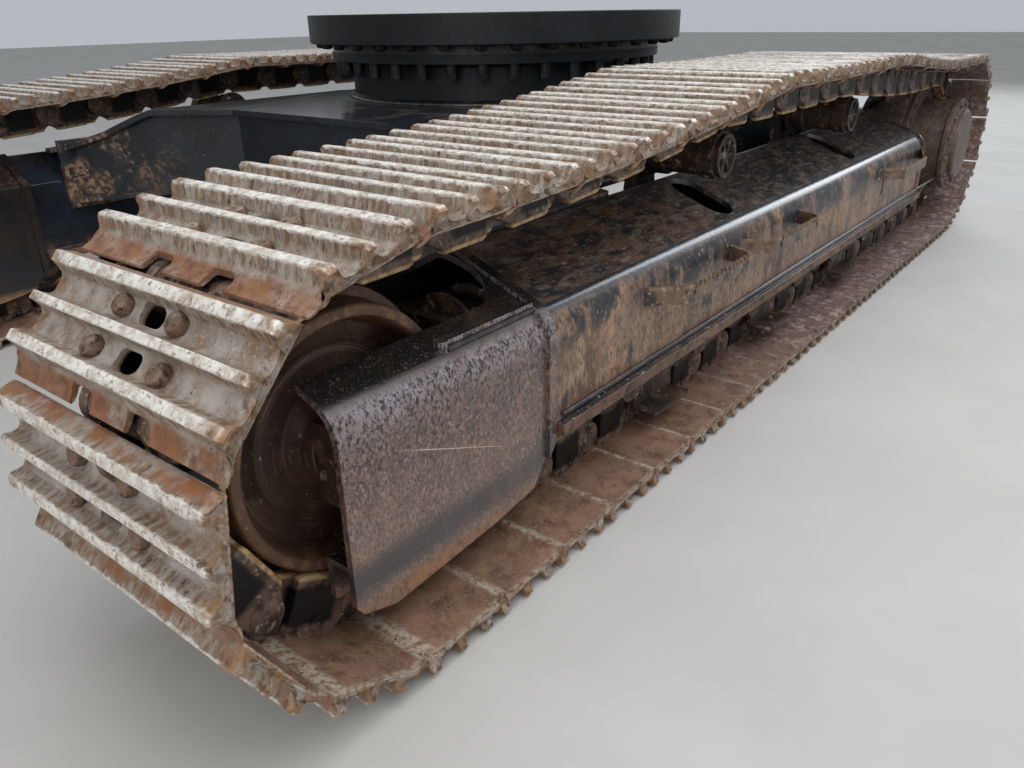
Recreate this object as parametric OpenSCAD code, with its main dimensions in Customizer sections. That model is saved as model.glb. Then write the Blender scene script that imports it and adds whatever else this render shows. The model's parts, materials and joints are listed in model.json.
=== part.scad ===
// Undercarriage of a crawler excavator: two tracks, their frames and running gear,
// an X shaped carbody and the slewing ring that carries the upper structure.
// +X points to the idlers (front), +Y to the left track, +Z up.
// The origin is on the ground, under the swing axis.

/* [Machine] */
// Distance between the idler shaft and the sprocket shaft
tumbler_d = 4030; // [3300:10:4800]
// Distance between the centre planes of the two tracks
gauge = 2390; // [2380:10:3150]
// Height of the carbody deck above the ground
deck_z = 800; // [735:5:900]

/* [Track] */
// Distance between two track pins
pitch = 203.2; // [200:0.1:206]
// How far the chain has run on, which turns the sprockets with it
chain_run = 0; // [0:1:200]
// Width of a track shoe
shoe_w = 600; // [500:10:800]
// Height from the pin axis to the rail that the rollers run on
rail_h = 64; // [60:1:70]
// Height from the pin axis to the inner face of the shoe
shoe_h = 50; // [46:1:60]
// Thickness of the shoe plate
plate_t = 11; // [8:1:14]
// Height of a grouser above the shoe plate
grouser_h = 32; // [20:1:36]
// Width of one link, measured along the pin
link_w = 46; // [40:1:50]
// Distance from the track centre plane to the outer face of a link
link_u = 110; // [106:1:114]
// Radius of the track bushing
bushing_r = 33; // [30:0.5:35]

/* [Wheels] */
// Radius of the idler tread
idler_r = 249; // [235:1:300]
// Number of sprocket teeth
teeth = 21; // [19:2:23]
// Radius of a track roller tread
roller_r = 80; // [75:1:85]
// Number of track rollers on each side
rollers = 9; // [7:1:10]
// Radius of a carrier roller tread
carrier_r = 68; // [62:1:72]
// Distance between the two carrier rollers of one side
carrier_d = 1150; // [900:10:1400]

/* [Track frame] */
// Distance from the track centre plane to the frame's side wall
wall_u = 205; // [195:1:225]
// Thickness of the frame's plates
wall_t = 14; // [8:1:20]
// Outer radius of the bend between side wall and roof
bend_r = 80; // [50:1:110]
// Slope of the roof in degrees
roof_slope = 22; // [12:1:26]
// Height of the mounting face under the frame's bottom flanges
flange_z = 264; // [262:1:275]
// Length of the front guard
guard_l = 580; // [500:10:640]

/* [Slewing ring] */
// Radius of the neck under the ring
neck_r = 590; // [540:5:620]
// How far the bolted flange on top of the neck stands out from it
flange_over = 77; // [60:1:100]
// Radial width of the ring's outer race
race_w = 79; // [70:1:110]
// Distance from the rim of the outer race to its bolt circle
race_edge = 42; // [36:1:50]
// Number of bolt holes in the outer race
race_bolts = 36; // [24:4:48]
// Radius of a bolt hole in the outer race
race_hole_r = 12.5; // [9:0.5:14]

/* [Hidden] */

paint = "#1d1e21";
steel = "#8a7a68";
worn = "#4a3a31";

// Clearances
gap = 5;
seat = 0.3;
run_fit = 0.1;

// Side view of the chain
shoe_total = shoe_h + plate_t + grouser_h;
pin_z = shoe_total;
rail_z = pin_z + rail_h;
idler_lift = 20;
sprocket_lift = 8;
idler_z = rail_z + idler_r + idler_lift;
sprocket_r0 = pitch / 2 / sin(360 / teeth);
sprocket_z = pin_z + sprocket_r0 + sprocket_lift;
grouser_x = [-73, 0, 73];
idler_tip_r = norm([idler_r + rail_h + shoe_total, grouser_x[2]]);
sprocket_tip_r = norm([sprocket_r0 * cos(360 / teeth) + shoe_total, grouser_x[2]]);
idler_x = (tumbler_d + sprocket_tip_r - idler_tip_r) / 2;
sprocket_x = idler_x - tumbler_d;
roller_z = rail_z + roller_r + seat;
roller_x0 = idler_x - 463;
roller_x1 = sprocket_x + 447;
front_sag = 22;
middle_sag = 6;
rear_sag = 26;

// Slewing ring heights
flange_top = deck_z + 172;
flange_t = 30;
flange_r = neck_r + flange_over;
raceway_r = flange_r + 4;
race_r = raceway_r + race_w;
race_bolt_r = race_r - race_edge;
ring_top = deck_z + 305;

// Frame stations along X
frame_front = idler_x - 475;
frame_rear = sprocket_x + 570;
guard_x = frame_front + guard_l;
bend_z = idler_z + 56;
crown_u0 = -55;
crown_u1 = -70;
inner_slope = 35;
track_y = gauge / 2;
inner_y = track_y - wall_u;

// Track frame in cross section: [distance outwards, height], t is the inset from the outer face
bend_end = 90 - roof_slope;
function slope_z(u, t = 0) = let (r = bend_r - t)
    bend_z + r * sin(bend_end) + (wall_u - bend_r + r * cos(bend_end) - u) * tan(roof_slope);
crown_z = slope_z(crown_u0);
carrier_pin_z = crown_z + 217;

// Points of an arc from angle a0 to a1
function arc(c, r, a0, a1, n) = [for (i = [0:n])
    c + r * [cos(a0 + (a1 - a0) * i / n), sin(a0 + (a1 - a0) * i / n)]];
function reversed(p) = [for (i = [len(p) - 1:-1:0]) p[i]];
function mix(a, b, t) = a + (b - a) * t;

// A span of the upper run hangs between two supports
function span(a, b, sag, n) = [for (i = [1:n]) mix(a, b, i / n) - [0, 4 * sag * (i / n) * (1 - i / n)]];

// Path of the pins: ground run forwards, round the idler, back over the carriers, round the sprocket.
// h is half the distance between two pins. The ground run stays flat for one link past the end rollers.
idler_c = [idler_x, idler_z];
sprocket_c = [sprocket_x, sprocket_z];
carrier_front = [carrier_d / 2, carrier_pin_z];
carrier_rear = [-carrier_d / 2, carrier_pin_z];
function idler_pin_r(h) = norm([idler_r + rail_h, h]);
function idler_half_a(h) = asin(h / idler_pin_r(h));
function sprocket_r(h) = h / sin(360 / teeth);
// Angle on the idler where the chain comes up to it from the ground run
front_corner = [roller_x0 + pitch, pin_z];
function idler_start(h) = let (d = front_corner - idler_c) atan2(d[1], d[0]) + acos(idler_pin_r(h) / norm(d));
function path(h) = concat(
    [sprocket_c - [0, sprocket_r(h)], [roller_x1 - pitch, pin_z], front_corner],
    arc(idler_c, idler_pin_r(h), idler_start(h), 90, 44),
    span(idler_c + [0, idler_pin_r(h)], carrier_front, front_sag, 16),
    span(carrier_front, carrier_rear, middle_sag, 12),
    span(carrier_rear, sprocket_c + [0, sprocket_r(h)], rear_sag, 16),
    arc(sprocket_c, sprocket_r(h), 90, 270, 50));
// On a wheel a link is a chord, so arcs count with the chord's length
function chord(a) = sin(a) / (a * PI / 180);
function weight(x, h) = x > idler_x + 1 ? chord(idler_half_a(h))
    : x < sprocket_x - 1 ? chord(360 / teeth) : 1;
function run_of(p, h) = [for (i = 0, s = 0; i < len(p); i = i + 1,
    s = i < len(p) ? s + norm(p[i] - p[i - 1]) * weight((p[i][0] + p[i - 1][0]) / 2, h) : s) s];
function length_of(h) = let (r = run_of(path(h), h)) r[len(r) - 1];
links = round(length_of(pitch / 2) / pitch);
// The chain closes on whole links, so its pitch is fitted to the path
function fitted(h, n) = n == 0 ? h : fitted(length_of(h) / links / 2, n - 1);
half = fitted(pitch / 2, 4);
sprocket_pin_r = sprocket_r(half);
points = path(half);
run = run_of(points, half);
run_length = run[len(run) - 1];
run_x = [for (i = [0:len(points) - 1]) [run[i], points[i][0]]];
run_z = [for (i = [0:len(points) - 1]) [run[i], points[i][1]]];
// Before the chain runs on, its first pin sits in the sprocket's rearmost tooth gap
phase = run_length - sprocket_pin_r * chord(360 / teeth) * PI / 2 + chain_run;
function wrapped(s) = s - run_length * floor(s / run_length);
function pin(i) = let (s = wrapped(phase + i * run_length / links)) [lookup(s, run_x), lookup(s, run_z)];
pins = [for (i = [0:links - 1]) pin(i)];
// Height of a carrier roller under the links that rest on it
function under_link(a, b, x) = let (t = (b[1] - a[1]) / (b[0] - a[0]))
    a[1] + t * (x - a[0]) - (rail_h + carrier_r + seat) * sqrt(1 + t * t);
function carrier_z(x) = min([for (i = [0:links - 1]) let (a = pins[i], b = pins[(i + 1) % links])
    if (a[1] > idler_z && b[1] > idler_z && abs((a[0] + b[0]) / 2 - x) < pitch) under_link(a, b, x)]);

module xz(w, y = 0) {
    translate([0, y, 0]) rotate([90, 0, 0]) linear_extrude(height = w, center = true, convexity = 10)
        children();
}

module yz(x0, x1) {
    translate([x0, 0, 0]) rotate([90, 0, 90]) linear_extrude(height = x1 - x0, convexity = 10) children();
}

// A turned piece on an axis along Y, drawn as [radius, distance outwards]
module turned(x, z, y = 0, fn = 96) {
    translate([x, y, z]) rotate([-90, 0, 0]) rotate_extrude($fn = fn) children();
}

module rod(x, z, y0, y1, r, fn = 48) {
    translate([x, y0, z]) rotate([-90, 0, 0]) cylinder(h = y1 - y0, r = r, $fn = fn);
}

module left() {
    translate([0, track_y, 0]) children();
}

module right() {
    mirror([0, 1, 0]) translate([0, track_y, 0]) children();
}

// Places its children on link i: X runs along the link, Y points into the loop
module at_link(i) {
    a = pins[i];
    b = pins[(i + 1) % links];
    translate((a + b) / 2) rotate(atan2(b[1] - a[1], b[0] - a[0])) children();
}

grouser_base = 17;
grouser_tip = 8;

// Triple grouser shoe in side view, with a lip that reaches over its neighbour
function grouser(x) = let (y0 = -shoe_h - plate_t, y1 = -shoe_total)
    [[x - grouser_base, y0], [x - grouser_tip, y1], [x + grouser_tip, y1], [x + grouser_base, y0]];
shoe_profile = concat(
    [[-half + 3, -shoe_h], [-half + 3, -shoe_h - plate_t]],
    grouser(grouser_x[0]), grouser(grouser_x[1]), grouser(grouser_x[2]),
    [[half - 8, -shoe_h - plate_t], [half - 2, -shoe_h - plate_t + 5], [half - 2, -shoe_h]]);

boss_r = 42;
boss_in_r = 39;
link_pin_r = 23;
// One half of a link: the outer half reaches to its rear pin, the inner half to its front pin
module link_half(dir) {
    mirror([dir > 0 ? 0 : 1, 0]) difference() {
        polygon([[-44, -shoe_h - 3], [80, -shoe_h - 3], [92, rail_h - 14], [78, rail_h], [-44, rail_h]]);
        translate([0, -14]) circle(r = 17, $fn = 24);
    }
}

module track() {
    color(steel) union() {
        xz(shoe_w) for (i = [0:links - 1]) at_link(i) polygon(shoe_profile);
        for (s = [-1, 1]) {
            xz(link_w / 2, s * (link_u - link_w / 4)) {
                for (i = [0:links - 1]) at_link(i) link_half(-1);
                for (p = pins) translate(p) circle(r = boss_r, $fn = 32);
            }
            xz(link_w / 2, s * (link_u - link_w * 3 / 4)) {
                for (i = [0:links - 1]) at_link(i) link_half(1);
                for (p = pins) translate(p) circle(r = boss_in_r, $fn = 32);
            }
        }
        for (p = pins) {
            rod(p[0], p[1], -link_u - 3, link_u + 3, link_pin_r, 32);
            rod(p[0], p[1], -link_u + link_w - 1, link_u - link_w + 1, bushing_r, 32);
        }
    }
}

function crown_start(t) = let (r = bend_r - t)
    wall_u - bend_r + r * cos(bend_end) - (crown_z - t - bend_z - r * sin(bend_end)) / tan(roof_slope);
function crown_stop(t) = crown_u1 + (t / cos(inner_slope) - t) / tan(inner_slope);
function shoulder_z(t) = crown_z - t / cos(inner_slope) - (crown_u1 + wall_u - t) * tan(inner_slope);
function frame_section(t, z0) = concat(
    [[wall_u - t, z0]],
    arc([wall_u - bend_r, bend_z], bend_r - t, 0, bend_end, 9),
    [[crown_start(t), crown_z - t], [crown_stop(t), crown_z - t], [t - wall_u, shoulder_z(t)],
        [t - wall_u, z0]]);
function frame_shell(t0, t1, z0) = concat(frame_section(t0, z0), reversed(frame_section(t1, z0)));

flange_plate_t = 30;
frame_z0 = flange_z + flange_plate_t;
roof_cut_z = bend_z - 32;
mud_hole_w = 120;
mud_hole_u0 = -45;
mud_hole_u1 = 150;
drive_plate_t = 30;
wall_slot = [-860, 375, 22, 62];
drive_plate_r = 235;
drive_hole_r = 165;
drive_u = -wall_u + drive_plate_t;

module mud_hole(x) {
    r = mud_hole_w / 2;
    for (u = [mud_hole_u0 + r, mud_hole_u1 - r]) translate([x, u, roof_cut_z])
        cylinder(h = 300, r = r, $fn = 40);
    translate([x - r, mud_hole_u0 + r, roof_cut_z]) cube([2 * r, mud_hole_u1 - mud_hole_u0 - 2 * r, 300]);
}

rim_w = 10;
rim_t = 16;
rim_in = 24;
module track_frame() {
    color(paint) union() {
        difference() {
            yz(frame_rear, frame_front) polygon(frame_shell(0, wall_t, frame_z0));
            for (x = [-carrier_d / 2, carrier_d / 2]) mud_hole(x);
            // Slot in the outer wall under the rear step
            translate([wall_slot[0], wall_u - 40, wall_slot[1]]) cube([wall_slot[2], 80, wall_slot[3]]);
        }
        // Rim and end plate at the rear
        yz(frame_rear - rim_t, frame_rear) polygon(frame_shell(-rim_w, rim_in, frame_z0));
        // Inner wall runs on to the drive
        xz(drive_plate_t, drive_u - drive_plate_t / 2) difference() {
            union() {
                translate([sprocket_x, frame_z0])
                    square([frame_rear - rim_t - sprocket_x, shoulder_z(0) - frame_z0]);
                translate([sprocket_x, sprocket_z]) circle(r = drive_plate_r, $fn = 96);
            }
            translate([sprocket_x, sprocket_z]) circle(r = drive_hole_r, $fn = 96);
        }
        // Diaphragms that carry the recoil spring
        for (x = [spring_x0 - 20, -700]) yz(x - 20, x) polygon(frame_section(wall_t - 1, roller_top + 15));
    }
}

roller_flange_r = roller_r + 18;
roller_top = roller_z + roller_flange_r;
notch_r = 112;
notch_x = frame_front + 30 + notch_r;
strap_w = 26;
strap_t = 10;
guard_drop = 125;
module front_guard() {
    color(paint) intersection() {
        union() {
            difference() {
                yz(frame_front, guard_x) polygon(frame_shell(0, wall_t, guard_drop));
                translate([notch_x, 0, roof_cut_z]) cylinder(h = 300, r = notch_r, $fn = 64);
                translate([notch_x, -notch_r, roof_cut_z]) cube([guard_l, 2 * notch_r, 300]);
            }
            // Strap over the weld between guard and frame
            yz(frame_front, frame_front + strap_w) polygon(frame_shell(-strap_t, 1, guard_drop));
            // Stop bar on the roof
            stop_bar();
            // Ledges inside that guide the idler's bearings
            for (s = [-1, 1]) for (z = [idler_z - block_h / 2 - seat, idler_z + block_h / 2 + seat])
                guide_ledge(s, z);
            nose_bracket();
        }
        xz(2 * wall_u + 200) polygon([[frame_front, 900], [guard_x - 10, 900], [guard_x, 500], [guard_x, 300],
            [guard_x + 10, 185], [guard_x - 15, 150], [guard_x - 90, guard_drop], [frame_front + 196, 142],
            [frame_front + 70, 160], [frame_front, flange_z - 16]]);
    }
}

bar_w = 20;
bar_end_r = 14;
bar_l = 290;
bar_h = 26;
bar_u = 160;
module stop_bar() {
    translate([frame_front + strap_w, bar_u, slope_z(bar_u) - 14]) linear_extrude(height = bar_h) {
        translate([0, -bar_w / 2]) square([bar_l - strap_w, bar_w]);
        translate([bar_l - strap_w, 0]) circle(r = bar_end_r, $fn = 24);
    }
}

// Angle bracket low inside the nose
bracket_w = 60;
bracket_l = 150;
bracket_t = 12;
bracket_z = 236;
module nose_bracket() {
    u = wall_u - wall_t - bracket_w;
    translate([guard_x - bracket_l, u, bracket_z]) cube([bracket_l - 4, bracket_w + 1, bracket_t]);
    translate([guard_x - bracket_l, u, bracket_z - 78]) cube([bracket_l - 4, bracket_t, 79]);
}

ledge_w = 52;
ledge_t = 18;
module guide_ledge(s, z) {
    low = z < idler_z;
    translate([idler_x - 230, s > 0 ? wall_u - wall_t - ledge_w : -wall_u + wall_t, low ? z - ledge_t : z])
        cube([290, ledge_w, ledge_t]);
}

flange_u0 = 134;
flange_out = 30;
bead = 7;
// A flange along the foot of one wall, with the weld bead between them
module bottom_rail() {
    yz(frame_rear, frame_front - seat) polygon([[flange_u0, flange_z], [wall_u + flange_out, flange_z],
        [wall_u + flange_out, frame_z0], [wall_u + bead, frame_z0], [wall_u, frame_z0 + bead],
        [wall_u, frame_z0], [flange_u0, frame_z0]]);
}

module bottom_rails() {
    color(worn) {
        bottom_rail();
        mirror([0, 1, 0]) bottom_rail();
    }
}

step_out = 82;
step_h = 44;
step_t = 9;
step_top = bend_z + 12;
tooth_l = 24;
tooth_cut = 13;
// Each step: where it leaves the wall at its rear end, its length, how far its ends lean in
STEPS = [[675, 497, 36, 66], [135, 480, 36, 66], [frame_rear, 680, 230, 66]];
// A step is one flat bar, bent out from the wall and back to it
module step_bar(x, l, lean_rear, lean_front) {
    u1 = wall_u + step_out;
    r = 24;
    outer = concat([[0, wall_u]], arc([lean_rear + r, u1 - r], r, 160, 90, 4),
        arc([l - lean_front - r, u1 - r], r, 90, 35, 4), [[l, wall_u]]);
    inner = concat([[step_t * 1.5, wall_u]], arc([lean_rear + r, u1 - r], r - step_t, 160, 90, 4),
        arc([l - lean_front - r, u1 - r], r - step_t, 90, 35, 4), [[l - step_t * 1.8, wall_u]]);
    translate([x, 0, step_top - step_h]) linear_extrude(height = step_h)
        polygon(concat(outer, reversed(inner)));
}

// Notches that leave teeth along the top of a step
module step_teeth(x0, x1) {
    for (x = [x0:tooth_l:x1 - tooth_l]) polygon([[x + 4, step_top + 1], [x + 9, step_top - tooth_cut],
        [x + tooth_l - 5, step_top - tooth_cut], [x + tooth_l, step_top + 1]]);
}

module steps() {
    color(paint) difference() {
        for (s = STEPS) step_bar(s[0], s[1], s[2], s[3]);
        for (s = [STEPS[0], STEPS[1]]) xz(60, wall_u + step_out) {
            for (x = [s[0] + s[2] + 40, s[0] + s[1] - s[3] - 40]) translate([x, step_top - step_h / 2])
                circle(r = 7, $fn = 20);
            step_teeth(s[0] + s[2] + 24, s[0] + s[1] - s[3] - 24);
        }
    }
}

roller_pitch = (roller_x0 - roller_x1) / (rollers - 1);
tread_u0 = 58;
roller_shaft_r = 22;
collar_u0 = link_u + 26;
collar_u1 = wall_u - 19;
collar_half = 66;
// A turned outline and its mirror image, for pieces that are the same on both sides
function both(p) = concat(p, [for (i = [len(p) - 1:-1:0]) if (p[i][1] > 0) [p[i][0], -p[i][1]]]);
module track_roller(x, double) {
    mid_r = double ? roller_flange_r - 4 : roller_r - 14;
    union() {
        turned(x, roller_z, 0, 64) polygon(both([[0, 0], [mid_r, 0], [mid_r, tread_u0 - 16],
            [roller_r, tread_u0 - 4], [roller_r, link_u + 3], [roller_flange_r, link_u + 7],
            [roller_flange_r, link_u + 13], [58, link_u + 16], [50, collar_u0 - 3],
                [roller_shaft_r, collar_u0 - 3],
            [roller_shaft_r, collar_u1 + 4], [0, collar_u1 + 4]]));
        for (s = [-1, 1]) xz(collar_u1 - collar_u0, s * (collar_u0 + collar_u1) / 2)
            polygon([[x - collar_half, flange_z], [x - collar_half, flange_z - 22],
                [x - 42, roller_z - 30], [x - 24, roller_z - 44],
                [x + 24, roller_z - 44], [x + 42, roller_z - 30], [x + collar_half, flange_z - 22],
                    [x + collar_half, flange_z]]);
    }
}

module track_rollers() {
    color(worn) for (i = [0:rollers - 1]) track_roller(roller_x1 + i * roller_pitch, i % 3 == 1);
}

guide_t = 12;
guide_u = link_u + 18;
guide_half = roller_pitch / 2 - collar_half - 7;
guide_l = 2 * guide_half - 44;
guide_foot = wall_u - 15 - guide_u;
guide_z = 104;
// A guide between every second pair of rollers keeps the chain on them
module track_guides() {
    color(paint) for (k = [2:2:rollers - 2]) for (s = [-1, 1]) scale([1, s, 1]) {
        x = roller_x1 + (k + 0.5) * roller_pitch;
        xz(guide_t, guide_u + guide_t / 2) polygon([[x - guide_half, flange_z],
            [x - guide_half + 10, 200], [x - guide_l / 2, guide_z],
            [x + guide_l / 2, guide_z], [x + guide_half - 10, 200], [x + guide_half, flange_z]]);
        translate([x - guide_l / 2, guide_u + guide_t - 1, guide_z]) cube([guide_l, guide_foot, guide_t]);
    }
}

carrier_flange_r = carrier_r + 10;
post_u0 = 27 - wall_u;
post_u1 = 65 - wall_u;
post_boss_r = 46;
module carrier_roller(x) {
    z = carrier_z(x);
    turned(x, z, 0, 64) polygon([[0, -132], [54, -132], [carrier_flange_r, -126], [carrier_flange_r, -116],
        [carrier_r, -112], [carrier_r, -58], [60, -52], [60, 52], [carrier_r, 58], [carrier_r, 104],
        [62, 106], [62, 122], [50, 122], [46, 112], [24, 112], [20, 118], [0, 118]]);
    for (k = [0:2]) translate([x, 118, z]) rotate([0, 60 * k, 0]) translate([-51, -8, -5]) cube([102, 9, 10]);
    rod(x, z, post_u0 - 8, -131, 30, 40);
    difference() {
        xz(post_u1 - post_u0, (post_u0 + post_u1) / 2) union() {
            polygon([[x - 75, shoulder_z(0)], [x - 44, z], [x + 44, z], [x + 75, shoulder_z(0)]]);
            translate([x, z]) circle(r = post_boss_r, $fn = 48);
        }
        rod(x, z, -300, 0, 30, 40);
        yz(x - 100, x + 100) polygon(frame_section(0, frame_z0));
    }
}

module carrier_rollers() {
    color(worn) for (x = [-carrier_d / 2, carrier_d / 2]) carrier_roller(x);
}

idler_shaft_r = 42;
idler_tread_r = idler_r - gap;
block_h = 150;
block_u0 = link_u + 8;
block_u1 = wall_u - wall_t - 13;
module idler() {
    color(worn) turned(idler_x, idler_z, 0, 128) polygon(both([[idler_shaft_r + run_fit, 0],
        [idler_tread_r + 24, 0],
        [idler_tread_r + 22, 38], [idler_tread_r, 46], [idler_tread_r, 104], [idler_tread_r - 6, 108],
        [222, 108], [214, 88], [206, 62], [160, 52], [152, 58], [112, 62], [92, 84], [86, 110],
        [idler_shaft_r + run_fit, 110]]));
}

spring_z = idler_z + 49;
spring_x0 = frame_front - 560;
spring_x1 = idler_x - 372;
spring_r = 87;
wire_r = 17;
yoke_x = idler_x - 330;
module idler_yoke() {
    color(worn) {
        rod(idler_x, idler_z, -block_u1, block_u1, idler_shaft_r, 64);
        for (s = [-1, 1]) {
            difference() {
                translate([idler_x - 85, s > 0 ? block_u0 : -block_u1, idler_z - block_h / 2])
                    cube([170, block_u1 - block_u0, block_h]);
                rod(idler_x, idler_z, -300, 300, idler_shaft_r - 1, 64);
            }
            // Arm back to the cross plate
            translate([yoke_x, s > 0 ? block_u0 + 8 : -block_u1 + 12, idler_z - 40])
                cube([250, block_u1 - block_u0 - 20, 100]);
        }
        translate([yoke_x - 40, -block_u1 + 12, idler_z - 60]) cube([41, 2 * (block_u1 - 12), 165]);
        translate([spring_x1, 0, spring_z]) rotate([0, 90, 0]) cylinder(h = 12, r = 100, $fn = 64);
    }
}

coils = 7;
function helix_ring(k, n, sides) = let (t = k / n, a = 360 * coils * t,
    x = spring_x0 + wire_r + (spring_x1 - spring_x0 - 2 * wire_r) * t)
    [for (j = [0:sides - 1]) let (b = 360 * (j + 0.5) / sides, r = spring_r + wire_r * cos(b))
        [x + wire_r * sin(b), r * cos(a), spring_z + r * sin(a)]];
module coil_spring(n, sides) {
    points = [for (k = [0:n]) each helix_ring(k, n, sides)];
    faces = concat(
        [[for (j = [sides - 1:-1:0]) j]],
        [for (k = [0:n - 1]) for (j = [0:sides - 1])
            [k * sides + j, k * sides + (j + 1) % sides, (k + 1) * sides + (j + 1) % sides,
                (k + 1) * sides + j]],
        [[for (j = [0:sides - 1]) n * sides + j]]);
    polyhedron(points, faces);
}

module recoil_spring() {
    color(worn) {
        coil_spring(coils * 16, 6);
        // Adjuster cylinder inside the coil
        translate([spring_x0, 0, spring_z]) rotate([0, 90, 0])
            cylinder(h = spring_x1 - spring_x0, r = 58, $fn = 48);
    }
}

sprocket_w = 60;
sprocket_tip = sprocket_pin_r + 14;
drum_r = 212;
tooth_gap = 7.5;
module sprocket() {
    color(worn) xz(sprocket_w) translate([sprocket_x, sprocket_z]) difference() {
        circle(r = sprocket_tip, $fn = 96);
        circle(r = drum_r + 1, $fn = 96);
        for (i = [0:teeth - 1]) rotate(180 + (i + chain_run / half) * 360 / teeth)
            translate([sprocket_pin_r + 2, 0]) circle(r = bushing_r + tooth_gap, $fn = 32);
    }
}

drive_flange_r = 285;
cover_r = 172;
cover_u = 275;
module final_drive() {
    color(worn) {
        turned(sprocket_x, sprocket_z, 0, 96) polygon([[0, drive_u], [190, drive_u], [190, -80], [205, -60],
            [drum_r, -sprocket_w / 2 - 6], [drum_r, sprocket_w / 2], [drive_flange_r, sprocket_w / 2],
            [drive_flange_r, sprocket_w / 2 + 22], [drum_r + 6, sprocket_w / 2 + 34], [drum_r, 210],
            [drum_r + 12, 214], [drum_r + 12, 238], [cover_r + 14, 240], [cover_r, 246],
                [cover_r, cover_u - 10],
            [cover_r - 10, cover_u], [0, cover_u]]);
    }
}

module travel_motor() {
    color(worn) {
        turned(sprocket_x, sprocket_z, 0, 64) polygon([[0, drive_u], [160, drive_u], [160, -wall_u - 20],
            [125, -wall_u - 30], [118, -wall_u - 130], [90, -wall_u - 150], [0, -wall_u - 150]]);
        translate([sprocket_x - 60, -wall_u - 130, sprocket_z + 60]) cube([150, 95, 90]);
    }
}

// Carbody in plan: a box in the middle with four legs splayed to the frames
box_x = neck_r + 440;
box_y = 400;
side_x = 250;
side_y = neck_r + 60;
leg_x0 = 900;
leg_x1 = idler_x - 620;
plate_top = 22;
plate_low = 20;
web_t = 16;
web_in = 26;
leg_low = 455;
box_low = 490;
leg_top = crown_z + 12;
leg_rise = 24;
joint_t = 18;
joint_over = 16;
ridge_y = track_y + crown_u1;
leg_plan = [[box_x, box_y], [leg_x1, inner_y], [leg_x1, ridge_y], [leg_x0, ridge_y], [leg_x0, inner_y],
    [side_x, side_y]];
// Heights along Y, from the box to the frame
top_line = [[0, deck_z], [side_y + 20, deck_z], [side_y + 70, deck_z - 20],
    [mix(side_y, inner_y, 0.56), mix(leg_top + leg_rise, deck_z, 0.36)], [inner_y - 20, leg_top + leg_rise],
    [ridge_y, leg_top]];
low_line = [[0, box_low], [side_y, box_low], [inner_y, leg_low], [ridge_y, leg_low]];
function lowered(p, d) = [for (q = p) [q[0], q[1] - d]];
module heights(upper, lower) {
    yz(-2000, 2000) polygon(concat(upper, reversed(lower)));
}

module web(p, q) {
    d = (q - p) / norm(q - p);
    n = [-d[1], d[0]];
    linear_extrude(height = 1000) polygon([p, q, q + web_t * n, p + web_t * n]);
}

module leg() {
    color(paint) difference() {
        union() {
            intersection() {
                linear_extrude(height = 1000) polygon(leg_plan);
                union() {
                    heights(top_line, lowered(top_line, plate_top));
                    heights(lowered(low_line, -plate_low), low_line);
                }
            }
            intersection() {
                linear_extrude(height = 1000) polygon(leg_plan);
                heights(lowered(top_line, plate_top - 1), lowered(low_line, 1 - plate_low));
                union() {
                    web([box_x - web_in * 1.4, box_y], [leg_x1 - web_in * 1.4, inner_y]);
                    web([leg_x1 - web_in * 1.4, inner_y], [leg_x1 - web_in * 1.4, ridge_y]);
                    web([leg_x0 + web_in * 1.2, inner_y], [side_x + web_in * 1.2, side_y]);
                    web([leg_x0 + web_in * 1.2, ridge_y], [leg_x0 + web_in * 1.2, inner_y - web_t]);
                }
            }
            // Joint plate where the leg meets the frame's inner wall
            translate([leg_x0 - joint_over, inner_y - joint_t, leg_low - joint_over])
                cube([leg_x1 - leg_x0 + 2 * joint_over, joint_t,
                    leg_top + leg_rise - leg_low + 2 * joint_over]);
        }
        // The leg sits on the track frame
        translate([0, track_y, 0]) yz(0, 2000) polygon(frame_section(0, 0));
    }
}

neck_t = 45;
swivel_hole_r = 200;
module carbody() {
    plan = [for (s = [[1, 1], [-1, 1], [-1, -1], [1, -1]]) each
        s[0] * s[1] > 0 ? [[s[0] * box_x, s[1] * box_y], [s[0] * side_x, s[1] * side_y]]
            : [[s[0] * side_x, s[1] * side_y], [s[0] * box_x, s[1] * box_y]]];
    color(paint) difference() {
        union() {
            translate([0, 0, deck_z - plate_top]) linear_extrude(height = plate_top) polygon(plan);
            translate([0, 0, box_low]) linear_extrude(height = plate_low) polygon(plan);
            for (s = [-1, 1]) {
                translate([s * (box_x - web_in) - web_t / 2, -box_y + 5, box_low])
                    cube([web_t, 2 * box_y - 10, deck_z - box_low]);
                translate([-side_x + 5, s * (side_y - web_in) - web_t / 2, box_low])
                    cube([2 * side_x - 10, web_t, deck_z - box_low]);
            }
            // Drum that carries the neck through the box
            difference() {
                translate([0, 0, box_low]) cylinder(h = deck_z - box_low, r = neck_r - 20, $fn = 96);
                translate([0, 0, box_low - 1]) cylinder(h = deck_z, r = neck_r - 20 - web_t, $fn = 96);
            }
        }
        translate([0, 0, deck_z - plate_top - 1])
            cylinder(h = plate_top + 2, r = neck_r - neck_t - 60, $fn = 96);
        translate([0, 0, box_low - 1]) cylinder(h = plate_low + 2, r = swivel_hole_r, $fn = 64);
    }
}

bolt_count = 36;
bolt_pcr = flange_r - 33;
bolt_r = 13;
module bolt_circle(r, n, hole_r, z0, h) {
    for (i = [0:n - 1]) rotate((i + 0.5) * 360 / n) translate([r, 0, z0])
        cylinder(h = h, r = hole_r, $fn = 24);
}

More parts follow.
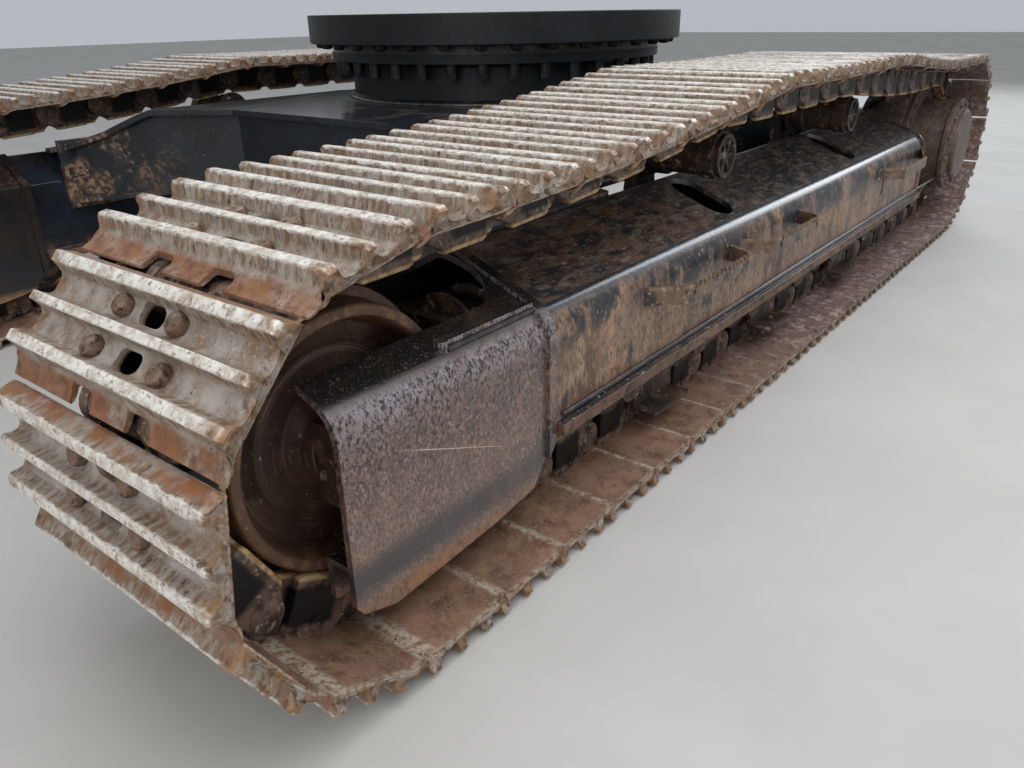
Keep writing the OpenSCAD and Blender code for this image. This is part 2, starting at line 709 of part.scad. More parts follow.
module neck() {
    color(paint) difference() {
        rotate_extrude($fn = 128) polygon([[neck_r - neck_t, deck_z], [neck_r + 16, deck_z],
            [neck_r + 14, deck_z + 6],
            [neck_r, deck_z + 18], [neck_r, flange_top - flange_t - 14], [neck_r + 12, flange_top - flange_t],
            [flange_r, flange_top - flange_t], [flange_r, flange_top], [neck_r - neck_t - 20, flange_top],
            [neck_r - neck_t - 20, flange_top - flange_t], [neck_r - neck_t, flange_top - flange_t - 10]]);
        bolt_circle(bolt_pcr, bolt_count, bolt_r + 1, flange_top - flange_t - 5, flange_t + 10);
    }
}

sleeve_l = 34;
head_h = 17;
module flange_bolts() {
    color(paint) for (i = [0:bolt_count - 1]) rotate((i + 0.5) * 360 / bolt_count)
        translate([bolt_pcr, 0, 0]) {
        translate([0, 0, flange_top - flange_t - sleeve_l]) cylinder(h = sleeve_l, r = 21, $fn = 24);
        translate([0, 0, flange_top - flange_t - sleeve_l - head_h]) cylinder(h = head_h, r = 22, $fn = 6);
        translate([0, 0, flange_top - flange_t - 1]) cylinder(h = flange_t + 50, r = bolt_r, $fn = 24);
    }
}

ring_teeth = 88;
tooth_h = 22;
gear_r = neck_r - 42;
inner_race_top = ring_top - 14;
function tooth(i) = let (a = 360 / ring_teeth) [for (k = [[0.06, 0], [0.32, tooth_h], [0.62, tooth_h],
    [0.88, 0]])
    (gear_r + k[1]) * [cos(a * (i + k[0])), sin(a * (i + k[0]))]];
module inner_race() {
    color(worn) difference() {
        union() {
            rotate_extrude($fn = 128) polygon([[gear_r + tooth_h + 4, flange_top],
                [raceway_r - 8, flange_top],
                [raceway_r - 8, flange_top + 34], [raceway_r - run_fit, flange_top + 44],
                [raceway_r - run_fit, inner_race_top - 6], [raceway_r - 6, inner_race_top],
                [gear_r + tooth_h + 4, inner_race_top]]);
            translate([0, 0, flange_top + 20]) linear_extrude(height = inner_race_top - flange_top - 40)
                difference() {
                circle(r = gear_r + tooth_h + 5, $fn = 128);
                polygon([for (i = [0:ring_teeth - 1]) each tooth(i)]);
            }
        }
        bolt_circle(bolt_pcr, bolt_count, bolt_r + 0.2, flange_top - 1, 62);
    }
}

outer_z0 = flange_top + 32;
module outer_race() {
    color(paint) difference() {
        rotate_extrude($fn = 128) polygon([[raceway_r, outer_z0 + 4], [raceway_r + 4, outer_z0],
            [race_r - 4, outer_z0],
            [race_r, outer_z0 + 4], [race_r, ring_top - 3], [race_r - 3, ring_top], [raceway_r + 6, ring_top],
            [raceway_r, ring_top - 8]]);
        bolt_circle(race_bolt_r, race_bolts, race_hole_r, outer_z0 - 1, ring_top - outer_z0 + 2);
    }
}

module swivel_joint() {
    color(worn) {
        translate([0, 0, box_low + plate_low]) cylinder(h = 18, r = 235, $fn = 64);
        translate([0, 0, box_low + plate_low + 17]) cylinder(h = 210, r = 105, $fn = 64);
        translate([0, 0, box_low + plate_low + 226]) cylinder(h = 120, r = 84, $fn = 64);
        for (i = [0:5]) rotate(i * 60) translate([60, 0, box_low + plate_low + 60 + 22 * i])
            rotate([0, 90, 0])
            cylinder(h = 75, r = 20, $fn = 24);
    }
}

carbody();
leg();  // leg_front_left
mirror([0, 1, 0]) leg();  // leg_front_right
mirror([1, 0, 0]) leg();  // leg_rear_left
mirror([1, 0, 0]) mirror([0, 1, 0]) leg();  // leg_rear_right
neck();
flange_bolts();
inner_race();
outer_race();
swivel_joint();
left() track();  // track_left
right() track();  // track_right
left() track_frame();  // track_frame_left
right() track_frame();  // track_frame_right
left() front_guard();  // front_guard_left
right() front_guard();  // front_guard_right
left() bottom_rails();  // bottom_rails_left
right() bottom_rails();  // bottom_rails_right
left() steps();  // steps_left
right() steps();  // steps_right
left() track_rollers();  // track_rollers_left
right() track_rollers();  // track_rollers_right
left() track_guides();  // track_guides_left
right() track_guides();  // track_guides_right
left() carrier_rollers();  // carrier_rollers_left
right() carrier_rollers();  // carrier_rollers_right
left() idler();  // idler_left
right() idler();  // idler_right
left() idler_yoke();  // idler_yoke_left
right() idler_yoke();  // idler_yoke_right
left() recoil_spring();  // recoil_spring_left
right() recoil_spring();  // recoil_spring_right
left() sprocket();  // sprocket_left
right() sprocket();  // sprocket_right
left() final_drive();  // final_drive_left
right() final_drive();  // final_drive_right
left() travel_motor();  // travel_motor_left
right() travel_motor();  // travel_motor_right
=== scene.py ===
"""Looks of a crawler excavator undercarriage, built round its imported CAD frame."""

import json
import math
from types import SimpleNamespace

import bmesh
import bpy
from mathutils import Matrix, Vector


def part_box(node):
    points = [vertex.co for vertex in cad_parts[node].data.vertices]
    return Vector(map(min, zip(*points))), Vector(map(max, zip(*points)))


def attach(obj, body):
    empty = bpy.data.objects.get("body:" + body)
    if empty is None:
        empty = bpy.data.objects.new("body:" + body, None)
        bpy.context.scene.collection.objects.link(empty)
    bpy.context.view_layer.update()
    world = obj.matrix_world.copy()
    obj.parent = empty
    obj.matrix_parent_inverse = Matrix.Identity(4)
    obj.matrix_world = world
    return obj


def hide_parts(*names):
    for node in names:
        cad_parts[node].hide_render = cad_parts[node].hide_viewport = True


bl_info = {
    "name": "Crawler Undercarriage",
    "version": (1, 0, 0),
    "blender": (4, 5, 0),
    "location": "View3D > Sidebar > Undercarriage",
    "description": "Chains, frames, running gear and slewing ring of a crawler excavator",
    "category": "Object",
}

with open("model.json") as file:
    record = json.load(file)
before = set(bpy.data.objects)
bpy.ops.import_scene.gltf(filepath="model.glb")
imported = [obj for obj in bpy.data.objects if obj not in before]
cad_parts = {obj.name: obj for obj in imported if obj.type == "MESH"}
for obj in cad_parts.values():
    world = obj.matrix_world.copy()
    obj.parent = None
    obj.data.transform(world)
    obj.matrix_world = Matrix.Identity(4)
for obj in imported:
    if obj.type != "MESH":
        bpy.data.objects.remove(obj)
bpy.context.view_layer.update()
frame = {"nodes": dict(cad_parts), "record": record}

SIDES = (("left", 1), ("right", -1))
BODY_OF = {n: b for b, members in frame["record"]["behaviour"]["bodies"].items() for n in members}
SLOT_OF = {p["node"]: p["material_slot"] for p in frame["record"]["subparts"]}


def middle(node):
    """Middle of a CAD node's box."""
    low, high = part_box(node)
    return (low + high) / 2


track_low, track_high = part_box("track_left")
TRACK_Y = middle("track_left").y
IDLER = middle("idler_left")
DRIVE = middle("final_drive_left")


def linear(code):
    """An sRGB hex value as a linear colour; a colour that is linear already stays as it is."""
    if not isinstance(code, str):
        return list(code)
    parts = [int(code[i : i + 2], 16) / 255 for i in (1, 3, 5)]
    return [c / 12.92 if c <= 0.04045 else ((c + 0.055) / 1.055) ** 2.4 for c in parts] + [1.0]


def size(name, text, default):
    """A length in metres that the user can change."""
    return bpy.props.FloatProperty(
        name=name, description=text, default=default, min=0.0, max=5.0, unit="LENGTH"
    )


def colour(name, text, code):
    """A colour that the user can change."""
    return bpy.props.FloatVectorProperty(
        name=name, description=text, default=linear(code), size=4, subtype="COLOR", min=0.0, max=1.0
    )


def count(name, text, default):
    """A number of like pieces that the user can change."""
    return bpy.props.IntProperty(name=name, description=text, default=default, min=3, max=90)


class UndercarriageChainSizes(bpy.types.PropertyGroup):
    """Sizes of the chains and their shoes."""

    pitch: size("Pitch", "Distance between two track pins", 0.2032)
    pin_height: size("Pin height", "Height of the pins of the ground run", 0.093)
    rail: size("Rail height", "Distance from the pins to the rail of the links", 0.064)
    idler_radius: size("Idler radius", "Radius of the idler treads", 0.249)
    sprocket_teeth: count("Sprocket teeth", "Teeth of a sprocket", 21)
    first_roller: size("First roller", "Distance from the idler shaft to the first track roller", 0.463)
    last_roller: size("Last roller", "Distance from the sprocket shaft to the last track roller", 0.447)
    carrier_apart: size("Carrier distance", "Distance between the carrier rollers of one side", 1.150)
    carrier_height: size("Carrier height", "Height of the pins above a carrier roller", 0.858)
    chain_run: size("Chain run", "How far the chain has run on round its wheels", 0.136)
    shoe_width: size("Shoe width", "Width of a shoe across the track", track_high.y - track_low.y)
    hole_length: size("Mud hole length", "Length of a mud hole across the track", 0.062)
    hole_width: size("Mud hole width", "Width of a mud hole along the track", 0.036)
    bolts_wide: size("Wide bolt spacing", "Distance between the bolts at the outer halves", 0.186)
    bolts_narrow: size("Narrow bolt spacing", "Distance between the bolts at the inner halves", 0.146)
    bolt_flats: size("Bolt head", "Width of a bolt head across its flats", 0.034)
    wear: size("Wear", "How deep wear bites into the tips of the grousers", 0.0022)


class UndercarriageGearSizes(bpy.types.PropertyGroup):
    """Sizes of edges, welds and bolts."""

    edge: size("Eased edge", "Radius of the eased edges of plates and castings", 0.003)
    weld: size("Weld radius", "Radius of a weld bead", 0.007)
    drive_bolts: count("Drive bolts", "Bolts in the ring of a final drive", 24)
    cover_bolts: count("Cover bolts", "Bolts in the cover of a final drive", 12)
    ring_bolts: count("Ring bolts", "Bolts in the outer race", 36)


class UndercarriageFinishes(bpy.types.PropertyGroup):
    """Colours of paint, steel and rust."""

    enamel: colour("Black enamel", "Black enamel of frames and carbody", "#14161a")
    bare: colour("Worn steel", "Steel worn bright on the grousers", "#e6e1d8")
    scale: colour("Mill scale", "Grey brown scale on rolled steel", "#9a9289")
    rust: colour("Brown rust", "Even brown rust", "#6f5340")
    orange: colour("Orange rust", "Fresh rust on edges", "#8e5d3b")
    dark: colour("Dark rust", "Dark rust and grease in corners", "#2c211b")
    dust: colour("Dried mud", "Pale dried mud", "#b0a291")
    floor: colour("Floor", "Pale studio floor", "#b4b1ac")


GROUPS = {
    "undercarriage_chain": UndercarriageChainSizes,
    "undercarriage_gear": UndercarriageGearSizes,
    "undercarriage_finishes": UndercarriageFinishes,
}

# Types of node that come up often, some with their settings
MATH = "ShaderNodeMath"
RAMP = "ShaderNodeMapRange"
NOISE = "ShaderNodeTexNoise"
VECTOR = "ShaderNodeVectorMath"
SEPARATE = "ShaderNodeSeparateXYZ"
FADE = (RAMP, {"interpolation_type": "SMOOTHSTEP"})
TIMES = (MATH, {"operation": "MULTIPLY"})
MINUS = (MATH, {"operation": "SUBTRACT"})
LARGER = (MATH, {"operation": "MAXIMUM"})
UNSIGNED = (MATH, {"operation": "ABSOLUTE"})
TIMES_PLUS = (MATH, {"operation": "MULTIPLY_ADD"})
STRETCH = (VECTOR, {"operation": "MULTIPLY"})
SCALE = (VECTOR, {"operation": "SCALE"})

# Noise of scale 1 has lumps half a metre wide
NOISE_MM = 500
# How far the share that a coat covers moves the edge of its mask, and how far apart two coats' seeds are
SHARE_REACH = 0.42
SEED_STEP = 3.7
# How far apart, in metres, two copies may look their pattern up
TINT_REACH = 9.0


def add(tree, kind, inputs=(), out=0, **settings):
    """Adds a node with its settings and links, and gives its output out.

    The inputs are values or other nodes' outputs, in the sockets' order or by socket.
    """
    kind, given = (kind, {}) if isinstance(kind, str) else kind
    node = tree.nodes.new(kind)
    for key, value in {**given, **settings}.items():
        setattr(node, key, value)
    for key, value in inputs.items() if isinstance(inputs, dict) else enumerate(inputs):
        if isinstance(value, bpy.types.NodeSocket):
            tree.links.new(value, node.inputs[key])
        else:
            node.inputs[key].default_value = value
    return node.outputs[out] if node.outputs else node


def group(name, kind, inputs, output, build):
    """The node group of that name, made once; inputs map a name to its type and default."""
    tree = bpy.data.node_groups.get(name)
    if tree:
        return tree
    tree = bpy.data.node_groups.new(name, kind)
    for label, (sort, *default) in inputs.items():
        made = tree.interface.new_socket(label, in_out="INPUT", socket_type="NodeSocket" + sort)
        if default:
            made.default_value = default[0]
    tree.interface.new_socket(name, in_out="OUTPUT", socket_type="NodeSocket" + output)
    given = {label: add(tree, "NodeGroupInput", out=label) for label in inputs}
    add(tree, "NodeGroupOutput", [build(tree, given)])
    return tree


def build_patches(tree, given):
    """A patchy mask: lumps of one size that cover a share of a zone."""
    lumps = {"Vector": given["Point"], "W": given["Seed"], "Scale": given["Scale"], "Detail": 4.0}
    lumps = add(tree, NOISE, {**lumps, "Roughness": 0.62}, noise_dimensions="4D")
    return add(tree, TIMES, (add(tree, FADE, (lumps, given["Low"], given["High"])), given["Zone"]))


def patches():
    """The node group behind each coat."""
    inputs = {"Point": ("Vector",)}
    for name, value in (("Scale", 10.0), ("Low", 0.45), ("High", 0.55), ("Seed", 0.0), ("Zone", 1.0)):
        inputs[name] = ("Float", value)
    return group("Patches", "ShaderNodeTree", inputs, "Float", build_patches)


def begin(name, on_copies):
    """An empty material, with the point where its patterns are looked up and that point's three parts."""
    made = bpy.data.materials.new(name)
    made.use_nodes = True
    tree = made.node_tree
    tree.nodes.clear()
    if on_copies:
        # Each copy of a repeated piece looks at another part of the pattern
        plain, tint = (
            add(tree, "ShaderNodeAttribute", out="Vector", attribute_name=key) for key in ("place", "tint")
        )
        point = add(tree, VECTOR, (plain, add(tree, SCALE, {0: tint, "Scale": TINT_REACH})))
    else:
        plain = point = add(tree, "ShaderNodeTexCoord", out="Object")
    x, y, z = (add(tree, SEPARATE, [plain], i) for i in range(3))
    up = add(tree, SEPARATE, [add(tree, "ShaderNodeNewGeometry", out="Normal")], 2)
    return SimpleNamespace(made=made, tree=tree, point=point, x=x, y=y, z=z, up=up)


def layered(m, base, coats, point=None):
    """Lays coats over a base colour.

    A coat is its colour, the size of its patches in mm, the share they cover, their softness and its zone,
    which may be left out. A coat of size 0 fills its zone.
    """
    made = base if isinstance(base, bpy.types.NodeSocket) else linear(base)
    for number, (code, size_mm, share, soft, *zone) in enumerate(coats):
        mask = zone[0] if zone else 1.0
        if size_mm:
            edge = 0.5 + (0.5 - share) * SHARE_REACH
            sockets = {"Point": point or m.point, "Zone": mask, "Scale": NOISE_MM / size_mm}
            sockets |= {"Low": edge - soft, "High": edge + soft, "Seed": number * SEED_STEP + size_mm}
            mask = add(m.tree, "ShaderNodeGroup", sockets, node_tree=patches())
        made = add(m.tree, "ShaderNodeMix", {0: mask, 6: made, 7: linear(code)}, 2, data_type="RGBA")
    return made


def close(m, base, roughness, metallic=0.0, relief=(), **more):
    """Closes a material: its gloss, and relief as pairs of lump size and depth in mm."""
    sockets = {"Base Color": base, "Roughness": roughness, "Metallic": metallic, **more}
    for size_mm, depth_mm in relief:
        lumps = add(m.tree, NOISE, {"Vector": m.point, "Scale": NOISE_MM / size_mm, "Detail": 3.0})
        inputs = {"Height": lumps, "Distance": depth_mm / 1000}
        if "Normal" in sockets:
            inputs["Normal"] = sockets["Normal"]
        sockets["Normal"] = add(m.tree, "ShaderNodeBump", inputs)
    add(m.tree, "ShaderNodeOutputMaterial", {"Surface": add(m.tree, "ShaderNodeBsdfPrincipled", sockets)})


def outer_side(m, start, stop):
    """The steep faces on the outer side of a track frame; start and stop say how steep."""
    steep = add(m.tree, FADE, (m.up, start, stop))
    outward = add(m.tree, RAMP, (add(m.tree, UNSIGNED, [m.y]), TRACK_Y - 0.1, TRACK_Y + 0.1))
    return add(m.tree, TIMES, (steep, outward))


# The finishes. Each function closes the empty material m, with the user's colours f. Its masks fade in
# from one place to another in metres, or by how far a face looks up


# Rolled boron steel shoes: pale, finely speckled tips; streaked flanks; brown rust in the valleys and at
# the ends. Inside they are smooth and red brown, with dried mud at the seams
def rolled_steel_worn(m, f):
    t = m.tree
    streaks = add(t, STRETCH, (m.point, (1.0, 1.0, 0.15)))
    flank = add(t, FADE, (m.z, -0.062, -0.072))
    lip = add(t, FADE, (m.x, -0.090, -0.101))
    front = add(t, FADE, (m.x, 0.083, 0.090))
    # The worn tip ends in a ragged line, with teeth of about 8 mm
    ragged = add(t, NOISE, {"Vector": m.point, "Scale": 60.0, "Detail": 4.0})
    tip = add(t, FADE, (add(t, TIMES_PLUS, (ragged, 0.014, m.z)), -0.0785, -0.0830))
    across = add(t, UNSIGNED, [m.y])
    end = add(t, FADE, (across, 0.235, 0.294))
    # The lip rises inwards, so the height that parts its two faces rises with it
    rise = add(t, RAMP, (m.x, -0.095, -0.130, 0.0, 0.0126))
    inside = add(t, FADE, (add(t, MINUS, (m.z, rise)), -0.0545, -0.0525))
    along = add(t, UNSIGNED, [add(t, MATH, (m.x, 0.028))])
    seams = add(t, LARGER, (add(t, FADE, (along, 0.081, 0.096)), add(t, FADE, (across, 0.276, 0.297))))
    muddy = add(t, TIMES, (seams, inside))
    # Towards the sprockets the outside is darker and duller, as painted shade of the upper structure above,
    # which is not built; inside the shoes are caked with mud
    stand = add(t, SEPARATE, [add(t, "ShaderNodeTexCoord", out="Object")])
    dull = add(t, FADE, (stand, 0.4, -1.2))
    caked = add(t, TIMES, (add(t, FADE, (stand, 1.1, -0.2)), inside))
    made = layered(m, f.scale, [
        (f.rust, 45, 0.42, 0.16),
        ("#aea69d", 22, 0.46, 0.16),
        ("#8a6a50", 14, 0.30, 0.12),
        ("#b5ada3", 4, 0.22, 0.08),
        (f.dark, 3, 0.14, 0.06),
    ])
    made = layered(m, made, [
        ("#796049", 7, 0.50, 0.12, flank),
        ("#a89e92", 5, 0.36, 0.12, flank),
        ("#43352c", 3, 0.20, 0.06, flank),
    ], streaks)
    made = layered(m, made, [
        (f.orange, 45, 0.66, 0.20, lip),
        ("#6f4c38", 9, 0.40, 0.12, lip),
        (f.orange, 22, 0.50, 0.14, front),
        (f.bare, 0, 0, 0, tip),
        ("#b9ab9a", 10, 0.40, 0.16, tip),
        ("#94806f", 4, 0.28, 0.08, tip),
        ("#6a584b", 2.2, 0.16, 0.05, tip),
        ("#8c6846", 18, 0.46, 0.12, end),
        ("#5d4534", 8, 0.34, 0.08, end),
        # Painted shade: a darker grey brown over the outside towards the sprockets
        ("#74675c", 26, 0.66, 0.20, dull),
        ("#755947", 0, 0, 0, inside),
        ("#936f58", 60, 0.44, 0.20, inside),
        ("#53382b", 24, 0.34, 0.16, inside),
        ("#8f7460", 3, 0.30, 0.10, inside),
        (f.dust, 7, 0.56, 0.10, muddy),
        ("#33241d", 5, 0.22, 0.06, muddy),
        ("#6d5852", 45, 0.66, 0.14, caked),
        ("#a08d86", 14, 0.34, 0.08, caked),
        ("#3a2c28", 9, 0.26, 0.06, caked),
    ])
    close(m, made, add(t, RAMP, {0: tip, 3: 0.60, 4: 0.40}), 0.2, ((18, 0.9), (4, 0.6)))


# Hex bolt heads worn round: dull brown rust with a rubbed crown
def bolt_rust(m, f):
    crown = add(m.tree, FADE, (m.up, 0.7, 1.0))
    made = layered(m, "#68523f", [
        ("#83685a", 14, 0.5, 0.15),
        (f.dark, 5, 0.3, 0.1),
        ("#9c8d7d", 6, 0.4, 0.1, crown),
    ])
    close(m, made, 0.6, 0.25, ((8, 1.2), (3, 0.4)))


# Forged chain links and pins: brown, and golden where the rollers run. An almost black patch between the pins
# is painted shade of a recess that the links' shape does not have
def forged_steel_rusty(m, f):
    t = m.tree
    rail = add(t, FADE, (m.z, 0.052, 0.058))
    # Painted shade: an almost black patch on the sides between the pins, where a recess would lie in shade
    level = add(t, FADE, (add(t, UNSIGNED, [add(t, MINUS, (m.z, 0.006))]), 0.042, 0.030))
    recess_shade = add(t, TIMES, (add(t, FADE, (add(t, UNSIGNED, [m.x]), 0.062, 0.046)), level))
    made = layered(m, "#5f4c41", [
        ("#7d6757", 26, 0.46, 0.14),
        (f.dark, 16, 0.40, 0.10),
        ("#9c8a76", 7, 0.24, 0.06),
        ("#100d0c", 0, 0, 0, recess_shade),
        ("#a07c50", 0, 0, 0, rail),
        ("#c9ad83", 10, 0.50, 0.10, rail),
    ])
    close(m, made, 0.52, 0.3, ((9, 1.6), (3, 0.5)))


# Black enamel of the track frames: glossy on the bend, brown dust on the roof, worn to brown rust on the wall
def frame_enamel(m, f):
    t = m.tree
    roof = add(t, FADE, (m.up, 0.82, 0.91))
    wall = outer_side(m, 0.74, 0.50)
    dull = add(t, LARGER, (roof, wall))
    ahead = add(t, TIMES, (roof, add(t, FADE, (m.x, 0.25, 0.85))))
    behind = add(t, TIMES, (wall, add(t, FADE, (m.x, 1.30, 1.10))))
    behind = add(t, TIMES, (behind, add(t, FADE, (m.z, 0.42, 0.46))))
    high = add(t, TIMES, (add(t, FADE, (m.z, 0.41, 0.49)), wall))
    low = add(t, TIMES, (add(t, FADE, (m.z, 0.44, 0.36)), wall))
    foot = add(t, FADE, (m.z, 0.335, 0.300))
    runs = add(t, STRETCH, (m.point, (1.0, 1.0, 0.5)))
    grain = add(t, STRETCH, (m.point, (0.3, 1.0, 1.0)))
    made = layered(m, f.enamel, [
        ("#232b35", 120, 0.46, 0.16),
        ("#3b342f", 60, 0.50, 0.16, roof),
        ("#5b4231", 160, 0.80, 0.12, ahead),
        ("#714f39", 90, 0.42, 0.16, ahead),
        ("#6a5443", 12, 0.34, 0.12, roof),
        ("#1d1d20", 26, 0.40, 0.10, roof),
        ("#1a1715", 4, 0.30, 0.08, roof),
    ])
    made = layered(m, made, [
        ("#6c625a", 9, 0.32, 0.10, roof),
        ("#1b1c1f", 12, 0.34, 0.08, roof),
        ("#8f8780", 3, 0.16, 0.06, roof),
    ], grain)
    made = layered(m, made, [
        ("#806857", 90, 0.74, 0.14, wall),
        ("#9a755a", 30, 0.46, 0.08, wall),
        ("#54402f", 60, 0.34, 0.10, wall),
        ("#a08367", 12, 0.28, 0.10, wall),
        ("#1c232c", 24, 0.42, 0.06, high),
        ("#20252c", 40, 0.54, 0.10, behind),
        ("#23262b", 40, 0.26, 0.06, low),
        ("#3c2c23", 20, 0.24, 0.06, low),
        ("#44352b", 5, 0.34, 0.08, wall),
        ("#b59a80", 4, 0.16, 0.06, wall),
        ("#8f8c88", 2.5, 0.08, 0.04),
        ("#6b432b", 50, 0.44, 0.10, foot),
    ], runs)
    coat = {"Coat Weight": add(t, RAMP, {0: dull, 3: 0.9, 4: 0.10}), "Coat Roughness": 0.14}
    close(m, made, add(t, RAMP, {0: dull, 3: 0.20, 4: 0.50}), 0.0, ((40, 0.8), (5, 0.45), (2, 0.15)), **coat)


# Nose guard: enamel ground to a mauve brown by stones, dark pits towards the bend with a painted lilac-grey
# highlight on it, a band of painted shade low down where a crease would be, rust along its low edge and one
# long scratch
def guard_enamel(m, f):
    t = m.tree
    roof = add(t, FADE, (m.up, 0.55, 0.85))
    wall = outer_side(m, 0.80, 0.52)
    flat = add(t, TIMES, (wall, add(t, FADE, (m.z, 0.26, 0.46))))
    bend = add(t, TIMES, (wall, add(t, FADE, (m.z, 0.45, 0.53))))
    # Painted shade: a dark band low on the wall stands in for the crease above a flared lower edge that the
    # shape does not have
    crease_shade = add(t, TIMES, (add(t, FADE, (m.z, 0.275, 0.225)), add(t, FADE, (m.z, 0.165, 0.205))))
    crease_shade = add(t, TIMES, (crease_shade, wall))
    low = add(t, FADE, (m.z, 0.180, 0.150))
    rear = add(t, TIMES, (wall, add(t, FADE, (m.x, IDLER.x - 0.36, IDLER.x - 0.46))))
    runs = add(t, STRETCH, (m.point, (1.0, 1.0, 0.6)))
    # The scratch is a thin line that climbs towards the front and fades at both ends
    from_idler = add(t, MINUS, (m.x, IDLER.x))
    line = add(t, TIMES_PLUS, (from_idler, 0.413, 0.4355))
    off = add(t, UNSIGNED, [add(t, MINUS, (m.z, line))])
    reach = add(t, RAMP, (add(t, UNSIGNED, [add(t, MATH, (from_idler, 0.164))]), 0.155, 0.110))
    scratch = add(t, TIMES, (add(t, RAMP, (off, 0.0015, 0.0003)), reach))
    scratch = add(t, TIMES, (scratch, wall))
    made = layered(m, f.enamel, [
        ("#30241e", 110, 0.34, 0.16),
        ("#69534a", 0, 0, 0, wall),
        ("#765f52", 70, 0.46, 0.20, wall),
        ("#58443c", 40, 0.40, 0.20, wall),
        ("#85644e", 16, 0.26, 0.14, wall),
        ("#24272b", 50, 0.44, 0.12, rear),
    ])
    made = layered(m, made, [
        ("#93807a", 3, 0.30, 0.12, wall),
        # Painted highlight: a lilac-grey coat over the upper bend
        ("#978e93", 24, 0.70, 0.20, bend),
        ("#3d2d28", 2.5, 0.34, 0.08, wall),
        ("#281d1d", 3.5, 0.36, 0.05, flat),
        ("#1b191c", 4.5, 0.34, 0.04, bend),
        # Painted shade of the crease low on the wall
        ("#3a3434", 60, 0.86, 0.26, crease_shade),
        ("#b3a294", 2, 0.12, 0.05, wall),
        ("#c4b7a6", 20, 0.70, 0.20, scratch),
        ("#686154", 2.5, 0.22, 0.06, roof),
        ("#4a3b30", 30, 0.26, 0.10, roof),
        ("#8b6040", 30, 0.72, 0.18, low),
        ("#55402f", 6, 0.36, 0.10, low),
    ], runs)
    coat = {"Coat Weight": 0.5, "Coat Roughness": 0.24}
    close(m, made, add(t, RAMP, {0: wall, 3: 0.26, 4: 0.40}), 0.0, ((5, 0.5), (30, 0.8)), **coat)


# Foot flange: black and glossy on top, with brown rust along the edge
def flange_enamel(m, f):
    top = add(m.tree, FADE, (m.up, 0.5, 0.9))
    made = layered(m, "#574033", [
        ("#75553f", 50, 0.45, 0.14),
        (f.dark, 16, 0.35, 0.10),
        (f.enamel, 0, 0, 0, top),
        ("#4b3a2d", 60, 0.34, 0.12, top),
        ("#8c8072", 8, 0.18, 0.06, top),
    ])
    coat = {"Coat Weight": add(m.tree, RAMP, {0: top, 3: 0.0, 4: 0.7}), "Coat Roughness": 0.12}
    close(m, made, add(m.tree, RAMP, {0: top, 3: 0.62, 4: 0.22}), 0.0, ((10, 0.6),), **coat)


# Steps: black enamel under brown rust, rubbed through along the teeth
def step_enamel(m, f):
    top = add(m.tree, FADE, (m.z, 0.478, 0.492))
    made = layered(m, f.enamel, [
        ("#6b5748", 30, 0.60, 0.12),
        ("#86694f", 12, 0.50, 0.10, top),
        ("#9c8872", 6, 0.22, 0.06),
    ])
    close(m, made, 0.42, 0.0, ((8, 0.4),))


# Cast rollers: dark brown scale under oily dust
def cast_roller(m, f):
    made = layered(m, "#2e241e", [
        ("#4c392c", 40, 0.45, 0.15),
        ("#6e563f", 16, 0.26, 0.08),
        (f.dust, 12, 0.18, 0.06),
        ("#15110f", 60, 0.30, 0.12),
    ])
    close(m, made, 0.58, 0.2, ((12, 1.0), (4, 0.3)))


# Cast idler: dark brown disc with a rubbed rim and turning marks. Real marks are finer than the render
# can show, so these are drawn about 1.5 mm apart
def cast_idler(m, f):
    t = m.tree
    flat = add(t, "ShaderNodeCombineXYZ", (add(t, MATH, (m.x, -IDLER.x)), add(t, MATH, (m.z, -IDLER.z))))
    far = add(t, VECTOR, [flat], "Value", operation="LENGTH")
    rings = add(t, NOISE, {"W": far, "Scale": 330.0, "Detail": 2.0}, noise_dimensions="1D")
    broken = add(t, NOISE, {"Vector": m.point, "Scale": 14.0, "Detail": 2.0})
    scratch = add(t, FADE, (add(t, TIMES, (rings, broken)), 0.30, 0.40))
    rim = add(t, FADE, (far, 0.205, 0.222))
    made = layered(m, "#382a23", [
        ("#5d4637", 70, 0.52, 0.18),
        ("#7c6150", 0, 0, 0, scratch),
        ("#664a39", 60, 0.66, 0.20, rim),
        ("#b3a394", 4, 0.10, 0.03),
        ("#86644c", 16, 0.34, 0.10, rim),
    ])
    close(m, made, 0.46, 0.35, Normal=add(t, "ShaderNodeBump", {"Height": rings, "Distance": 0.0004}))


# Sprocket and drive housings: brown dust over cast iron
def cast_drive(m, f):
    made = layered(m, "#4d3f38", [
        ("#655247", 90, 0.52, 0.22),
        ("#766257", 22, 0.30, 0.16),
        (f.dark, 12, 0.20, 0.08),
        ("#8d7b6e", 5, 0.18, 0.08),
    ])
    close(m, made, 0.55, 0.15, ((14, 0.6), (4, 0.3)))


